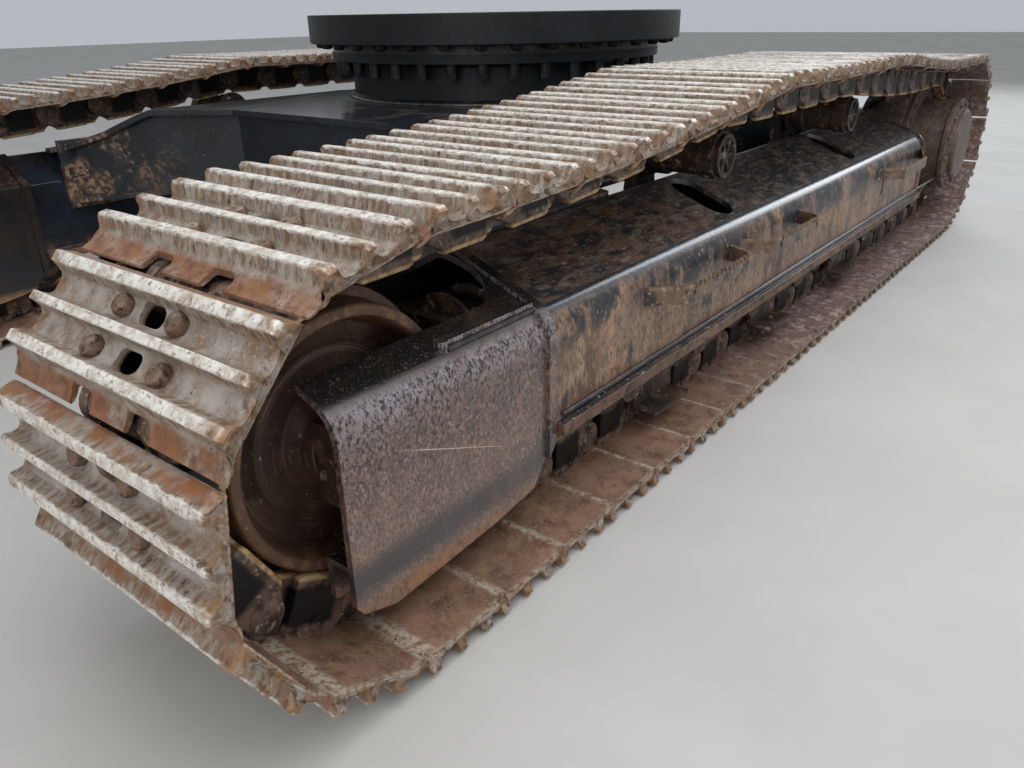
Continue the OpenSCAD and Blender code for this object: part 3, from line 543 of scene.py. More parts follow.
# Carbody: thick blue black enamel, scraped to tan primer and mud in clusters on the legs
def body_enamel(m, f):
    t = m.tree
    top = add(t, FADE, (m.up, 0.6, 0.95))
    outer = add(t, FADE, (add(t, UNSIGNED, [m.y]), 0.55, 0.95))
    low = add(t, FADE, (m.z, 0.58, 0.48))
    cluster = {"Point": m.point, "Scale": 4.5, "Low": 0.46, "High": 0.53, "Seed": 4.0, "Zone": outer}
    cluster = add(t, "ShaderNodeGroup", cluster, node_tree=patches())
    made = layered(m, "#13161b", [
        ("#1a212b", 160, 0.46, 0.18),
        ("#0b0d10", 90, 0.34, 0.12),
        ("#4b3b30", 30, 0.46, 0.10, cluster),
        ("#8b6d55", 9, 0.40, 0.05, cluster),
        ("#b09b84", 5, 0.16, 0.03, cluster),
        ("#54473b", 70, 0.38, 0.12, low),
        ("#5d554b", 60, 0.24, 0.12, top),
        ("#7d776d", 4, 0.10, 0.04),
    ])
    coat = {"Coat Weight": add(t, RAMP, {0: top, 3: 0.06, 4: 0.5}), "Coat Roughness": 0.15}
    close(m, made, add(t, RAMP, {0: top, 3: 0.5, 4: 0.3}), 0.0, ((60, 0.8), (6, 0.2)), **coat)


# Neck and outer race: black enamel, even and dull, with a little dust. Its very dark base and weak reflection
# are painted shade of the upper structure above, which is not built
def ring_enamel(m, f):
    top = add(m.tree, FADE, (m.up, 0.6, 0.95))
    # Painted shade: a base darker than the frames' enamel
    made = layered(m, "#0c0d0f", [
        ("#15191e", 120, 0.45, 0.18),
        ("#4a4239", 30, 0.26, 0.10, top),
        ("#57514a", 4, 0.07, 0.03),
    ])
    close(m, made, 0.5, 0.0, ((40, 0.4), (5, 0.15)), **{"Specular IOR Level": 0.3})


# Inner race: hardened steel that was turned, under brown grease
def greased_steel(m, f):
    made = layered(m, "#3a3836", [
        ("#241c14", 60, 0.55, 0.18),
        ("#5a4630", 18, 0.22, 0.10),
        ("#14100c", 9, 0.3, 0.08),
    ])
    close(m, made, 0.34, 0.4, ((12, 0.4),))


# Weld beads: rippled steel under the enamel, brown where it wore through
def weld_enamel(m, f):
    made = layered(m, "#1b1a1b", [("#4a372b", 14, 0.40, 0.12), ("#857564", 5, 0.14, 0.05)])
    close(m, made, 0.3, 0.0, ((4, 0.5),), **{"Coat Weight": 0.5, "Coat Roughness": 0.15})


# Studio floor: matt pale screed
def floor_screed(m, f):
    made = layered(m, f.floor, [("#aeaba6", 900, 0.45, 0.2), ("#bab7b2", 300, 0.4, 0.2)])
    close(m, made, 0.85, 0.0, ((12, 0.3),))


# Finishes of pieces made of many copies, whose patterns follow each copy
ON_COPIES = (rolled_steel_worn, bolt_rust, forged_steel_rusty)
# Finishes of the CAD nodes, by how the nodes' names start
FINISHES = {
    body_enamel: ("carbody", "leg"),
    ring_enamel: ("neck", "flange_bolts", "outer_race"),
    greased_steel: ("inner_race",),
    frame_enamel: ("track_frame",),
    guard_enamel: ("front_guard",),
    flange_enamel: ("bottom_rails",),
    step_enamel: ("steps",),
    cast_roller: ("track_rollers", "track_guides", "carrier_rollers", "idler_yoke", "recoil_spring"),
    cast_idler: ("idler_left", "idler_right"),
    cast_drive: ("swivel_joint", "sprocket", "final_drive", "travel_motor"),
}


def material(finish):
    """The material of a finish, made once and named for it."""
    name = finish.__name__
    if name not in bpy.data.materials:
        finish(begin(name, finish in ON_COPIES), bpy.context.scene.undercarriage_finishes)
    return bpy.data.materials[name]


def new_object(name, data):
    """An object in the scene's collection."""
    made = bpy.data.objects.new(name, data)
    bpy.context.collection.objects.link(made)
    return made


def mesh_from(name, build, *args):
    """A mesh object that build() fills, with closed shells turned outwards."""
    bm = bmesh.new()
    build(bm, *args)
    bmesh.ops.recalc_face_normals(bm, faces=bm.faces)
    mesh = bpy.data.meshes.new(name)
    bm.to_mesh(mesh)
    bm.free()
    return new_object(name, mesh)


def evaluated(obj):
    """A plain mesh of what an object's modifiers make."""
    graph = bpy.context.evaluated_depsgraph_get()
    return bpy.data.meshes.new_from_object(obj.evaluated_get(graph), depsgraph=graph)


def baked(obj):
    """Takes an object's modifiers into its mesh and removes them."""
    old, obj.data = obj.data, evaluated(obj)
    obj.modifiers.clear()
    bpy.data.meshes.remove(old)


def smooth(obj, degrees=32):
    """Smooth shading with the sharp edges kept."""
    obj.data.shade_smooth()
    obj.data.set_sharp_from_angle(angle=math.radians(degrees))


def settle(obj, node, finish):
    """Gives a finished piece its material and the body of a CAD node; the node's slot is looked up but not
    given.
    """
    body, slot = BODY_OF[node], SLOT_OF[node]
    obj.data.materials.clear()
    obj.data.materials.append(material(finish))
    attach(obj, body)


def arc(centre, radius, start, stop, steps):
    """Points of an arc, angles in degrees."""
    turns = [math.radians(start + (stop - start) * i / steps) for i in range(steps + 1)]
    return [(centre[0] + radius * math.cos(a), centre[1] + radius * math.sin(a)) for a in turns]


def span(a, b, sag, steps):
    """Points of a chain that hangs between two supports."""
    parts = [i / steps for i in range(1, steps + 1)]
    return [(a[0] + (b[0] - a[0]) * t, a[1] + (b[1] - a[1]) * t - 4 * sag * t * (1 - t)) for t in parts]


def chord(angle):
    """How much shorter the chord is than its arc, for half the angle in radians."""
    return math.sin(angle) / angle


# How far the chain sags in front of the carrier rollers, between them and behind them
SAG_FRONT, SAG_MIDDLE, SAG_REAR = 0.022, 0.006, 0.026
# How often the pitch is fitted to the path, which changes with it
FIT_ROUNDS = 4


def chain_path(half):
    """Path of the pins in side view, the distance run at each of its points and the sprocket's reach."""
    s = bpy.context.scene.undercarriage_chain
    radius = math.hypot(s.idler_radius + s.rail, half)
    step = math.radians(360 / s.sprocket_teeth)
    wheel = half / math.sin(step)
    corner = (IDLER.x - s.first_roller + s.pitch, s.pin_height)
    dx, dz = corner[0] - IDLER.x, corner[1] - IDLER.z
    start = math.degrees(math.atan2(dz, dx) + math.acos(radius / math.hypot(dx, dz)))
    front, rear = (s.carrier_apart / 2, s.carrier_height), (-s.carrier_apart / 2, s.carrier_height)
    points = [(DRIVE.x, DRIVE.z - wheel), (DRIVE.x + s.last_roller - s.pitch, s.pin_height), corner]
    points += arc((IDLER.x, IDLER.z), radius, start, 90, steps=44)
    points += span((IDLER.x, IDLER.z + radius), front, SAG_FRONT, steps=16)
    points += span(front, rear, SAG_MIDDLE, steps=12)
    points += span(rear, (DRIVE.x, DRIVE.z + wheel), SAG_REAR, steps=16)
    points += arc((DRIVE.x, DRIVE.z), wheel, 90, 270, steps=50)
    run = [0.0]
    for a, b in zip(points, points[1:]):
        x = (a[0] + b[0]) / 2
        on_idler, on_drive = x > IDLER.x + 0.001, x < DRIVE.x - 0.001
        weight = chord(math.asin(half / radius)) if on_idler else chord(step) if on_drive else 1.0
        run.append(run[-1] + math.dist(a, b) * weight)
    return points, run, wheel * chord(step)


def fitted():
    """Half the pitch at which a whole number of links closes the chain, and that number."""
    pitch = bpy.context.scene.undercarriage_chain.pitch
    half = pitch / 2
    links = round(chain_path(half)[1][-1] / pitch)
    for _ in range(FIT_ROUNDS):
        half = chain_path(half)[1][-1] / links / 2
    return half, links


def pins():
    """Places of the track pins in side view."""
    half, links = fitted()
    points, run, reach = chain_path(half)
    length = run[-1]
    made = []
    for i in range(links):
        at = -reach * math.pi / 2 + i * length / links + bpy.context.scene.undercarriage_chain.chain_run
        at %= length
        k = max(j for j in range(len(run) - 1) if run[j] <= at)
        t = (at - run[k]) / max(run[k + 1] - run[k], 1e-9)
        made.append([points[k][n] + (points[k + 1][n] - points[k][n]) * t for n in (0, 1)])
    return made


def build_copies(tree, given):
    """Puts a copy of a master on each point and wears it."""
    master = add(tree, "GeometryNodeObjectInfo", {"Object": given["Master"]}, "Geometry")
    turn, soft = (
        add(tree, "GeometryNodeInputNamedAttribute", {"Name": name}, data_type=kind)
        for name, kind in (("turn", "FLOAT_VECTOR"), ("soft", "FLOAT"))
    )
    places = {"Points": given["Points"], "Instance": master}
    places["Rotation"] = add(tree, "FunctionNodeEulerToRotation", [turn])
    made = add(tree, "GeometryNodeInstanceOnPoints", places)
    tint = add(tree, "FunctionNodeRandomValue", {"Seed": given["Seed"]}, data_type="FLOAT_VECTOR")
    stored = {"Geometry": made, "Name": "tint", "Value": tint}
    made = add(tree, "GeometryNodeStoreNamedAttribute", stored, domain="INSTANCE", data_type="FLOAT_VECTOR")
    made = add(tree, "GeometryNodeRealizeInstances", [made])
    # Wear in lumps of about 9 mm moves points in or out, and only where the attribute soft is above nothing
    lumps = add(tree, NOISE, {"Scale": 55.0, "Detail": 3.0}, "Color")
    lumps = add(tree, VECTOR, (lumps, (0.5, 0.5, 0.5)), operation="SUBTRACT")
    moved = add(tree, SCALE, {0: lumps, "Scale": add(tree, TIMES, (soft, given["Wear"]))})
    made = add(tree, "GeometryNodeSetPosition", {"Geometry": made, "Offset": moved})
    return add(tree, "GeometryNodeSetMaterial", {"Geometry": made, "Material": given["Finish"]})


def build_bead(tree, given):
    """Sweeps a bead along a curve, rippled in lumps of about 7 mm."""
    path = add(tree, "GeometryNodeResampleCurve", {"Curve": given["Path"], "Length": 0.005}, mode="LENGTH")
    lumps = add(tree, NOISE, {"Scale": 70.0, "Detail": 1.0})
    ripple = add(tree, RAMP, (lumps, 0.3, 0.7, 0.72, 1.15))
    path = add(tree, "GeometryNodeSetCurveRadius", {"Curve": path, "Radius": ripple})
    ring = add(tree, "GeometryNodeCurvePrimitiveCircle", {"Resolution": 8, "Radius": given["Radius"]})
    made = add(tree, "GeometryNodeCurveToMesh", {"Curve": path, "Profile Curve": ring, "Fill Caps": True})
    made = add(tree, "GeometryNodeRealizeInstances", [made])
    return add(tree, "GeometryNodeSetMaterial", {"Geometry": made, "Material": given["Finish"]})


def grown(name, data, tree, **inputs):
    """A mesh object that a Geometry Nodes tree makes from points or a curve."""
    source = new_object(name + "_source", data)
    modifier = source.modifiers.new(tree.name, "NODES")
    modifier.node_group = tree
    for item in tree.interface.items_tree:
        if item.item_type == "SOCKET" and item.name in inputs:
            modifier[item.identifier] = inputs[item.name]
    made = new_object(name, evaluated(source))
    bpy.data.objects.remove(source)
    return made


def copies(name, master, places, finish, node, seed, wear=0.0):
    """One piece of a CAD node's body, made of a master's copies; a place is a location and three turns."""
    points = bpy.data.meshes.new(name)
    points.from_pydata([p for p, _ in places], [], [])
    turn = points.attributes.new("turn", "FLOAT_VECTOR", "POINT")
    turn.data.foreach_set("vector", [v for _, t in places for v in t])
    inputs = {"Points": ("Geometry",), "Master": ("Object",), "Finish": ("Material",)}
    inputs |= {"Seed": ("Int", 1), "Wear": ("Float", 0.0)}
    tree = group("Copies", "GeometryNodeTree", inputs, "Geometry", build_copies)
    made = grown(name, points, tree, Master=master, Finish=material(finish), Seed=seed, Wear=wear)
    smooth(made)
    settle(made, node, finish)
    return made


def weld(name, paths, node):
    """One piece of a CAD node's body, made of weld beads along the given paths."""
    curve = bpy.data.curves.new(name, "CURVE")
    curve.dimensions = "3D"
    for path in paths:
        line = curve.splines.new("POLY")
        line.points.add(len(path) - 1)
        for point, place in zip(line.points, path):
            point.co = (*place, 1.0)
    inputs = {"Path": ("Geometry",), "Radius": ("Float", 0.006), "Finish": ("Material",)}
    tree = group("Bead", "GeometryNodeTree", inputs, "Geometry", build_bead)
    radius = bpy.context.scene.undercarriage_gear.weld
    made = grown(name, curve, tree, Radius=radius, Finish=material(weld_enamel))
    smooth(made, 60)
    settle(made, node, weld_enamel)


# How near points of a CAD mesh are one, the turn under which faces are one, and the turn that is eased
MERGE, FLAT, EASED = 2e-5, math.radians(1), math.radians(30)


def cad_copy(node):
    """A CAD node's own shape with eased edges and its finish."""
    made = new_object(node + "_shape", frame["nodes"][node].data.copy())
    bm = bmesh.new()
    bm.from_mesh(made.data)
    bmesh.ops.remove_doubles(bm, verts=bm.verts, dist=MERGE)
    bmesh.ops.dissolve_limit(bm, angle_limit=FLAT, verts=bm.verts, edges=bm.edges)
    bm.to_mesh(made.data)
    bm.free()
    edge = made.modifiers.new("Eased edges", "BEVEL")
    edge.width = bpy.context.scene.undercarriage_gear.edge
    edge.segments = 2
    edge.limit_method = "ANGLE"
    edge.angle_limit = EASED
    baked(made)
    smooth(made)
    # Large flat faces keep one even shade beside their eased edges
    made.modifiers.new("Even faces", "WEIGHTED_NORMAL").keep_sharp = True
    baked(made)
    settle(made, node, next(finish for finish, kinds in FINISHES.items() if node.startswith(kinds)))
    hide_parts(node)
    return made


def turned_copy(node, shaft):
    """A sprocket's copy, turned about its shaft as far as the chain has run on."""
    s = bpy.context.scene.undercarriage_chain
    made = cad_copy(node)
    angle = s.chain_run / fitted()[0] * 2 * math.pi / s.sprocket_teeth
    place = Matrix.Translation((shaft.x, 0, shaft.z))
    made.data.transform(place @ Matrix.Rotation(-angle, 4, "Y") @ place.inverted())
    made.data.update()


# One valley of a shoe, from the front grouser to the middle one: distance along the chain and height, in mm
SHOE_VALLEY = [
    (66, -91.4), (64, -90.4), (58, -74), (54, -66), (47, -62.5), (38, -61),
    (22, -61), (18, -62.5), (13, -67), (10, -75), (8, -90), (6, -91.4),
]
# The outer face from the front edge to the lip
SHOE_OUT = [(95, -54), (95, -60), (83, -90.4), (81, -91.4)] + SHOE_VALLEY
SHOE_OUT += [(-x, z) for x, z in reversed(SHOE_VALLEY)]
SHOE_OUT += [
    (-80, -91.4), (-82, -90.4), (-87, -75), (-91, -66), (-97, -60),
    (-104, -55), (-112, -51), (-124, -48), (-129, -46.5),
]
# Its inner face, back from the lip to the front edge
SHOE_IN = [(-130, -42), (-124, -39.5), (-112, -41), (-104, -44), (-96, -48), (-88, -50), (88, -50), (94, -51)]
# Sections across a shoe, and how much narrower than the CAD's it is at each side
STATIONS = 24
TRIM = 0.001
# The end sections: how far in the next ones stand, how far back the flanks and the inner face are drawn,
# the heights in mm between which the flanks reach out with the grousers, and the height of the worn tips
NEXT_IN, FLANK_BACK, INNER_BACK = 0.008, 0.011, 0.009
FLANK_FROM, FLANK_REACH, TIP_ABOVE, TIP_WORN = 66, 22, -88, -84
# Middle of a shoe to its valleys, where its mud holes and bolts are, and the pins to the bolts' seats
VALLEY = 0.038
HEAD_SEAT = -0.0605


def skin(bm, rings):
    """Closes a row of rings of points to a shell."""
    rings = [[bm.verts.new(p) for p in ring] for ring in rings]
    for a, b in zip(rings, rings[1:]):
        for i in range(len(a)):
            j = (i + 1) % len(a)
            bm.faces.new((a[i], a[j], b[j], b[i]))
    bm.faces.new(rings[0])
    bm.faces.new(reversed(rings[-1]))


def build_shoe(bm):
    """A track shoe with three grousers, its lip and its ends, before the holes."""
    half = bpy.context.scene.undercarriage_chain.shoe_width / 2 - TRIM
    rings = []
    for k in range(STATIONS + 1):
        end = k in (0, STATIONS)
        u = math.copysign(half, k - 1) if end else (half - NEXT_IN) * (2 * (k - 1) / (STATIONS - 2) - 1)
        ring = []
        for x, z in SHOE_OUT:
            tall = max(0.0, min(1.0, (-z - FLANK_FROM) / FLANK_REACH))
            back = (1 - tall) * FLANK_BACK if end and -92 < x < 90 else 0.0
            ring.append((x, u - math.copysign(back, u), TIP_WORN if end and z < TIP_ABOVE else z))
        back = INNER_BACK if end else 0.0
        ring += [(x, u - math.copysign(back, u), z) for x, z in SHOE_IN]
        rings.append([(x / 1000, y, z / 1000) for x, y, z in ring])
    skin(bm, rings)


def build_slots(bm):
    """Rounded bars that cut the mud holes and the notches of the lip."""
    s = bpy.context.scene.undercarriage_chain
    # Place along and across, size along and across, radius of the corners
    holes = [(x, 0.0, s.hole_width, s.hole_length, 0.013) for x in (VALLEY, -VALLEY)]
    holes += [(-0.121, u, 0.046, 0.062, 0.010) for u in (0.080, -0.080)]
    for x, u, along, across, radius in holes:
        outline = []
        for sx, sy, start in ((1, 1, 0), (-1, 1, 90), (-1, -1, 180), (1, -1, 270)):
            corner = (x + sx * (along / 2 - radius), u + sy * (across / 2 - radius))
            outline += arc(corner, radius, start, start + 90, 4)
        skin(bm, [[(a, b, z) for a, b in outline] for z in (-0.09, -0.02)])


def mark(obj, soft=None):
    """Stores where each point lies on its piece, and how freely wear may move it."""
    mesh = obj.data
    place = mesh.attributes.new("place", "FLOAT_VECTOR", "POINT")
    place.data.foreach_set("vector", [c for v in mesh.vertices for c in v.co])
    free = mesh.attributes.new("soft", "FLOAT", "POINT")
    free.data.foreach_set("value", [soft(v.co) if soft else 0.0 for v in mesh.vertices])
    return obj


def shoe_softness(co):
    """How freely wear moves a point of a shoe: most at the tips, less on the flanks, not near the holes."""
    return 1.0 if co.z < -0.084 else 0.35 if co.z < -0.056 and abs(co.y) > 0.05 else 0.0


def shoe_master():
    """The shoe that every copy repeats, with its holes cut."""
    shoe = mesh_from("shoe_master", build_shoe)
    cutter = mesh_from("shoe_slots", build_slots)
    cut = shoe.modifiers.new("Holes", "BOOLEAN")
    cut.operation = "DIFFERENCE"
    cut.solver = "EXACT"
    cut.object = cutter
    baked(shoe)
    bpy.data.objects.remove(cutter)
    return mark(shoe, shoe_softness)


# Rings of a bolt head, from its seat to its crown: share of its height and of its radius
HEAD_RINGS = ((0.0, 1.0), (0.55, 1.0), (0.86, 0.86), (1.0, 0.52))
# Bolt heads: width across flats and height; for the shoes' heads, height and how much lower one side is worn
DRIVE_HEAD, RACE_HEAD, SHOE_HEAD = (0.024, 0.014), (0.036, 0.018), (0.019, 0.0015)


def build_head(bm, flats, height, worn):
    """A hex head with its crown rounded off and its corners eased, worn lower on one side."""
    radius = flats / math.sqrt(3)
    corners = [math.radians(60 * (k // 2) + (8 if k % 2 else -8)) for k in range(12)]
    flat = [(math.cos(a), math.sin(a)) for a in corners]
    skin(bm, [
        [(radius * wide * c, radius * wide * s, height * tall - worn * wide * c) for c, s in flat]
        for tall, wide in HEAD_RINGS
    ])


def head_master(name, flats, height, worn=0.0):
    """A bolt head that copies repeat."""
    return mark(mesh_from(name, build_head, flats, height, worn))


def build_plate(bm, outline, low, high, ease=0.003):
    """A plate across the chain from a side outline, its edges eased."""
    points = [Vector(p) for p in outline]
    centre = sum(points, Vector((0.0, 0.0))) / len(points)
    rings = []
    for y, inset in ((low, ease), (low + ease, 0.0), (high - ease, 0.0), (high, ease)):
        moved = [p - (p - centre).normalized() * inset for p in points]
        rings.append([(p.x, y, p.y) for p in moved])
    skin(bm, rings)


def build_turned(bm, x, z, profile, steps):
    """A turned shape on an axis across the chain; the profile is radius and distance across."""
    turns = [2 * math.pi * k / steps for k in range(steps)]
    skin(bm, [[(x + r * math.cos(a), y, z + r * math.sin(a)) for a in turns] for r, y in profile])


def build_link(bm):
    """One link of the chain: outer halves to the rear pin, inner halves to the front pin, bushing and pin."""
    rear, front, foot, rail = -0.1016, 0.1016, -0.052, 0.0635
    outer = [(0.046, foot), (-0.060, foot)] + arc((rear, 0), 0.042, 300, 130, 10)
    outer += [(-0.092, 0.050), (-0.078, rail), (0.030, rail), (0.042, 0.058)]
    inner = [(-0.046, foot), (0.060, foot)] + arc((front, 0), 0.039, 240, 410, 10)
    inner += [(0.092, 0.050), (0.078, rail), (-0.030, rail), (-0.042, 0.058)]
    pad = [(0.016, 0.088), (0.016, 0.112), (0.012, 0.113)]
    pin_end = [(0.030, 0.109), (0.030, 0.1105), (0.024, 0.1125), (0.010, 0.1125), (0.008, 0.1105)]
    for side in (1, -1):
        for outline, low, high in ((outer, 0.0875, 0.1095), (inner, 0.0645, 0.0870)):
            build_plate(bm, outline, *sorted((side * low, side * high)))
        # Pads round the bolts, at the foot of each half
        build_turned(bm, -0.020, -0.030, [(r, side * y) for r, y in pad], 12)
        build_turned(bm, rear, 0, [(r, side * y) for r, y in pin_end], 20)
    build_turned(bm, front, 0, [(0.033, -0.0660), (0.033, 0.0660)], 24)


def side_places(side, places):
    """Places on a chain in the middle, carried over to the chain of that side."""
    return [((x, side * TRACK_Y + y, z), turn) for (x, y, z), turn in places]


class UNDERCARRIAGE_OT_chains(bpy.types.Operator):
    """Build the shoes, bolts and links of both chains"""

    bl_idname = "undercarriage.chains"
    bl_label = "Build chains"
    bl_options = {"REGISTER", "UNDO"}

    def execute(self, context):
        s = context.scene.undercarriage_chain
        joints = pins()
        places, heads = [], []
        for a, b in zip(joints, joints[1:] + joints[:1]):
            t = math.atan2(b[1] - a[1], b[0] - a[0])
            x, z = (a[0] + b[0]) / 2, (a[1] + b[1]) / 2
            places.append(((x, 0.0, z), (0.0, -t, 0.0)))
            for along, apart in ((VALLEY, s.bolts_narrow), (-VALLEY, s.bolts_wide)):
                at_x = x + along * math.cos(t) - HEAD_SEAT * math.sin(t)
                at_z = z + along * math.sin(t) + HEAD_SEAT * math.cos(t)
                # The head's axis points out of the chain
                heads += [((at_x, side * apart / 2, at_z), (math.pi, -t, 0.0)) for side in (1, -1)]
        shoe = shoe_master()
        link = mark(mesh_from("link_master", build_link))
        head = head_master("shoe_bolt_master", s.bolt_flats, *SHOE_HEAD)
        for n, (name, side) in enumerate(SIDES):
            node = "track_" + name
            on_side = side_places(side, places)
            shoes = copies("shoes_" + name, shoe, on_side, rolled_steel_worn, node, seed=3 + n, wear=s.wear)
            copies("links_" + name, link, on_side, forged_steel_rusty, node, seed=5 + n)
            copies("shoe_bolts_" + name, head, side_places(side, heads), bolt_rust, node, seed=7 + n)
            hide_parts(node)
        for master in (shoe, link, head):
            bpy.data.objects.remove(master)
        return {"FINISHED"}


# Middle of a track to its frame's outer wall, and the distance between the points of the foot weld's path
FRAME_WALL = 0.205
WELD_STEP = 0.02
# The bar on a nose guard's roof: how far behind the guard's edge, its length and its two long sides
BAR_BACK, BAR_LENGTH, BAR_SIDES = 0.026, 0.26, (0.149, 0.171)


def roof_height(u):
    """Height of the outer face of a frame's roof, u out from the middle of the track."""
    bend_u, bend_z, radius, slope = 0.125, IDLER.z + 0.056, 0.080, math.radians(22)
    return bend_z + radius * math.cos(slope) + (bend_u + radius * math.sin(slope) - u) * math.tan(slope)


class UNDERCARRIAGE_OT_frames(bpy.types.Operator):
    """Build the track frames, guards, flanges and steps"""

    bl_idname = "undercarriage.frames"
    bl_label = "Build frames"
    bl_options = {"REGISTER", "UNDO"}

    def execute(self, context):
        for name, side in SIDES:
            for kind in ("track_frame", "front_guard", "bottom_rails", "steps"):
                cad_copy(f"{kind}_{name}")
            low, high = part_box("track_frame_" + name)
            # One bead along the foot of the wall, and two along the bar on the nose guard's roof
            y, z = side * (TRACK_Y + FRAME_WALL + 0.003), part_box("bottom_rails_" + name)[1].z - 0.002
            steps = int((high.x - low.x) / WELD_STEP) - 1
            paths = [[(low.x + WELD_STEP * (k + 1), y, z) for k in range(steps)]]
            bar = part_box("front_guard_" + name)[0].x + BAR_BACK
            for u in BAR_SIDES:
                y, z = side * (TRACK_Y + u), roof_height(u) + 0.001
                paths.append([(bar + BAR_LENGTH * k / 12, y, z) for k in range(13)])
            weld("frame_welds_" + name, paths, "track_frame_" + name)
        return {"FINISHED"}


RUNNING_GEAR = ("track_rollers", "track_guides", "carrier_rollers", "idler_yoke", "idler", "recoil_spring")


class UNDERCARRIAGE_OT_running_gear(bpy.types.Operator):
    """Build rollers, guides, idlers and springs"""

    bl_idname = "undercarriage.running_gear"
    bl_label = "Build running gear"
    bl_options = {"REGISTER", "UNDO"}

    def execute(self, context):
        for name, _ in SIDES:
            for kind in RUNNING_GEAR:
                cad_copy(f"{kind}_{name}")
        return {"FINISHED"}


# Bolt circles of a final drive: radius, and how far out from the middle of the track
DRIVE_CIRCLE, COVER_CIRCLE = (0.262, 0.052), (0.198, 0.2395)


def drive_bolt_places(side, radius, across, number, offset=0.0):
    """Places of bolts on a circle about a drive's shaft; offset turns it by a share of their distance."""
    made = []
    for k in range(number):
        turn = 2 * math.pi * (k + offset) / number
        at = (DRIVE.x + radius * math.cos(turn), side * (TRACK_Y + across), DRIVE.z + radius * math.sin(turn))
        made.append((at, (-side * math.pi / 2, 0.0, 0.0)))
    return made


class UNDERCARRIAGE_OT_drives(bpy.types.Operator):
    """Build sprockets, final drives and travel motors"""

    bl_idname = "undercarriage.drives"
    bl_label = "Build drives"
    bl_options = {"REGISTER", "UNDO"}

    def execute(self, context):
        s = context.scene.undercarriage_gear
        head = head_master("small_head", *DRIVE_HEAD)
        for name, side in SIDES:
            for kind in ("final_drive", "travel_motor"):
                cad_copy(f"{kind}_{name}")
            turned_copy("sprocket_" + name, DRIVE)
            places = drive_bolt_places(side, *DRIVE_CIRCLE, s.drive_bolts)
            places += drive_bolt_places(side, *COVER_CIRCLE, s.cover_bolts, offset=0.5)
            copies("drive_bolts_" + name, head, places, cast_drive, "final_drive_" + name, seed=9)
        bpy.data.objects.remove(head)
        return {"FINISHED"}


class UNDERCARRIAGE_OT_carbody(bpy.types.Operator):
    """Build the carbody and its legs"""

    bl_idname = "undercarriage.carbody"
    bl_label = "Build carbody"
    bl_options = {"REGISTER", "UNDO"}

    def execute(self, context):
        cad_copy("carbody")
        for end in ("front", "rear"):
            for name, _ in SIDES:
                cad_copy(f"leg_{end}_{name}")
        return {"FINISHED"}


# Outer edge of the outer race to the circle of its bolts, and the radius of the weld at the neck's foot
RACE_BOLTS_IN = 0.042
NECK_FOOT = 0.606


class UNDERCARRIAGE_OT_ring(bpy.types.Operator):
    """Build the neck, the races and their bolts"""

    bl_idname = "undercarriage.ring"
    bl_label = "Build slewing ring"
    bl_options = {"REGISTER", "UNDO"}

    def execute(self, context):
        s = context.scene.undercarriage_gear
        for node in ("neck", "flange_bolts", "inner_race", "outer_race", "swivel_joint"):
            cad_copy(node)
        low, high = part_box("outer_race")
        radius = high.x - RACE_BOLTS_IN
        head = head_master("race_head", *RACE_HEAD)
        places = []
        for k in range(s.ring_bolts):
            turn = 2 * math.pi * (k + 0.5) / s.ring_bolts
            at = (radius * math.cos(turn), radius * math.sin(turn), low.z + 0.0005)
            places.append((at, (math.pi, 0.0, turn)))
        copies("race_bolts", head, places, ring_enamel, "outer_race", seed=11)
        bpy.data.objects.remove(head)
        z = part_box("neck")[0].z + 0.003
        weld("neck_weld", [[(*p, z) for p in arc((0.0, 0.0), NECK_FOOT, 0, 360, 160)]], "neck")
        return {"FINISHED"}


def camera_at(place, azimuth, pitch, roll, lens):
    """A camera that looks along azimuth, pitched down and rolled, all in degrees."""
    a, p, r = (math.radians(v) for v in (azimuth, pitch, roll))
    ahead = Vector((math.cos(a) * math.cos(p), math.sin(a) * math.cos(p), -math.sin(p)))
    right = Vector((math.sin(a), -math.cos(a), 0.0))
    up = right.cross(ahead)
    right, up = math.cos(r) * right + math.sin(r) * up, math.cos(r) * up - math.sin(r) * right
    data = bpy.data.cameras.new("photo_view")
    data.lens = lens
    data.clip_end = 200
    made = new_object("photo_view", data)
    made.matrix_world = Matrix.Translation(place) @ Matrix((right, up, -ahead)).transposed().to_4x4()
    bpy.context.scene.camera = made


def lamp(name, place, aim, width, watts, tone):
    """A square soft light that faces a point."""
    data = bpy.data.lights.new(name, "AREA")
    data.size = width
    data.energy = watts
    data.color = tone
    made = new_object(name, data)
    made.location = place
    made.rotation_euler = (Vector(aim) - Vector(place)).to_track_quat("-Z", "Y").to_euler()


# Name, place, aim, width, watts and colour. The rear panel draws the bright line along the frames' bends
LAMPS = (
    ("sky_panel", (1.0, 3.5, 6.0), (0.5, 0.8, 0.3), 6.0, 330, (0.93, 0.96, 1.0)),
    ("front_panel", (6.5, 3.0, 3.2), (1.2, 0.8, 0.4), 4.0, 120, (1.0, 0.98, 0.95)),
    ("rear_panel", (-9.0, 1.2, 6.0), (0.0, 1.0, 0.5), 7.0, 480, (0.88, 0.94, 1.0)),
)
FLOOR_SIZE = 40
# How far the floor lies under the ground, so that no face of the shoes falls in it
FLOOR_GAP = 0.0005


def build_floor(bm):
    """A wide floor under the machine."""
    bmesh.ops.create_grid(bm, x_segments=2, y_segments=2, size=FLOOR_SIZE)


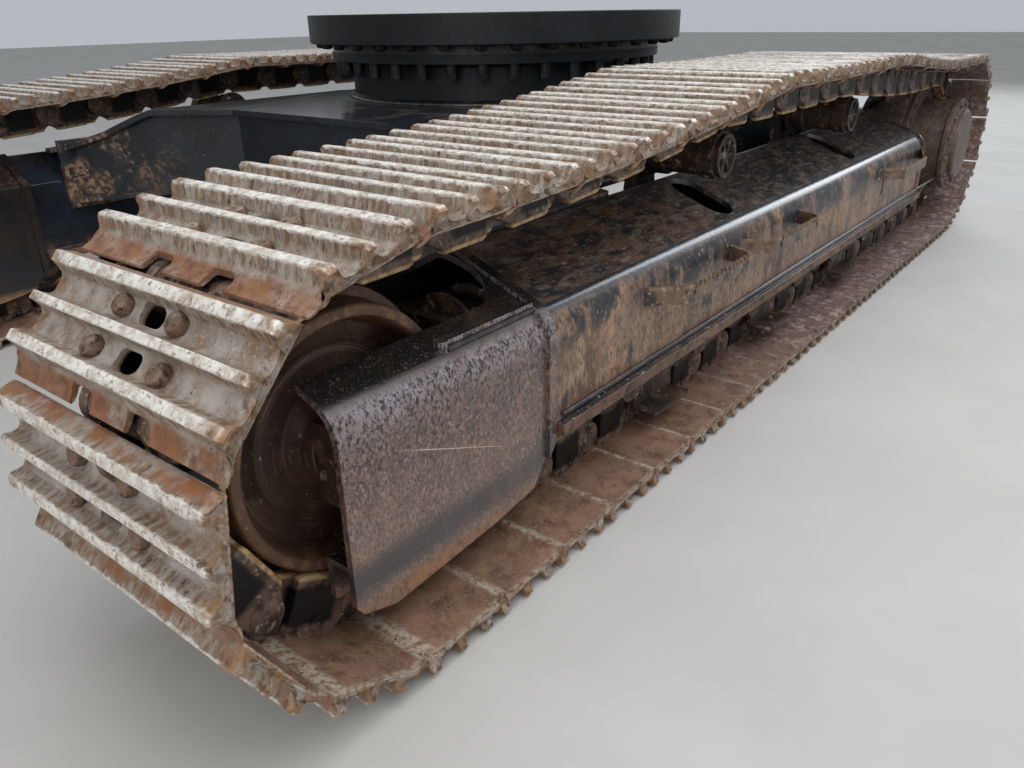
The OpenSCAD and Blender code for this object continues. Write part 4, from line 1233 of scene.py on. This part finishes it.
class UNDERCARRIAGE_OT_stage(bpy.types.Operator):
    """Build the floor, the lights and the camera"""

    bl_idname = "undercarriage.stage"
    bl_label = "Build stage"
    bl_options = {"REGISTER", "UNDO"}

    def execute(self, context):
        floor = mesh_from("studio_floor", build_floor)
        floor.location.z = -FLOOR_GAP
        floor.data.materials.append(material(floor_screed))
        world = bpy.data.worlds.new("soft_sky")
        world.use_nodes = True
        world.node_tree.nodes.clear()
        inputs = {"Color": linear("#dfe6ee"), "Strength": 0.62}
        sky = add(world.node_tree, "ShaderNodeBackground", inputs)
        add(world.node_tree, "ShaderNodeOutputWorld", {"Surface": sky})
        context.scene.world = world
        for row in LAMPS:
            lamp(*row)
        context.scene.view_settings.view_transform = "Standard"
        camera_at((2.822, TRACK_Y + 1.1056, 1.1022), azimuth=218.49, pitch=24.72, roll=-1.03, lens=28.36)
        return {"FINISHED"}


BUILDERS = (
    UNDERCARRIAGE_OT_chains,
    UNDERCARRIAGE_OT_frames,
    UNDERCARRIAGE_OT_running_gear,
    UNDERCARRIAGE_OT_drives,
    UNDERCARRIAGE_OT_carbody,
    UNDERCARRIAGE_OT_ring,
    UNDERCARRIAGE_OT_stage,
)


class VIEW3D_PT_undercarriage(bpy.types.Panel):
    """Sizes, colours and builders of the undercarriage."""

    bl_label = "Undercarriage"
    bl_space_type = "VIEW_3D"
    bl_region_type = "UI"
    bl_category = "Undercarriage"

    def draw(self, context):
        for name, made in GROUPS.items():
            box = self.layout.box()
            for item in made.__annotations__:
                box.prop(getattr(context.scene, name), item)
        for made in BUILDERS:
            self.layout.operator(made.bl_idname)


def register():
    """Adds the classes and the scene's settings."""
    for made in (*GROUPS.values(), *BUILDERS, VIEW3D_PT_undercarriage):
        bpy.utils.register_class(made)
    for name, made in GROUPS.items():
        setattr(bpy.types.Scene, name, bpy.props.PointerProperty(type=made))


def unregister():
    """Takes the settings and the classes away again."""
    for name in GROUPS:
        delattr(bpy.types.Scene, name)
    for made in (VIEW3D_PT_undercarriage, *BUILDERS, *GROUPS.values()):
        bpy.utils.unregister_class(made)


def main():
    """Builds all pieces and the stage."""
    register()
    bpy.ops.undercarriage.chains()
    bpy.ops.undercarriage.frames()
    bpy.ops.undercarriage.running_gear()
    bpy.ops.undercarriage.drives()
    bpy.ops.undercarriage.carbody()
    bpy.ops.undercarriage.ring()
    bpy.ops.undercarriage.stage()


if __name__ == "__main__":
    main()
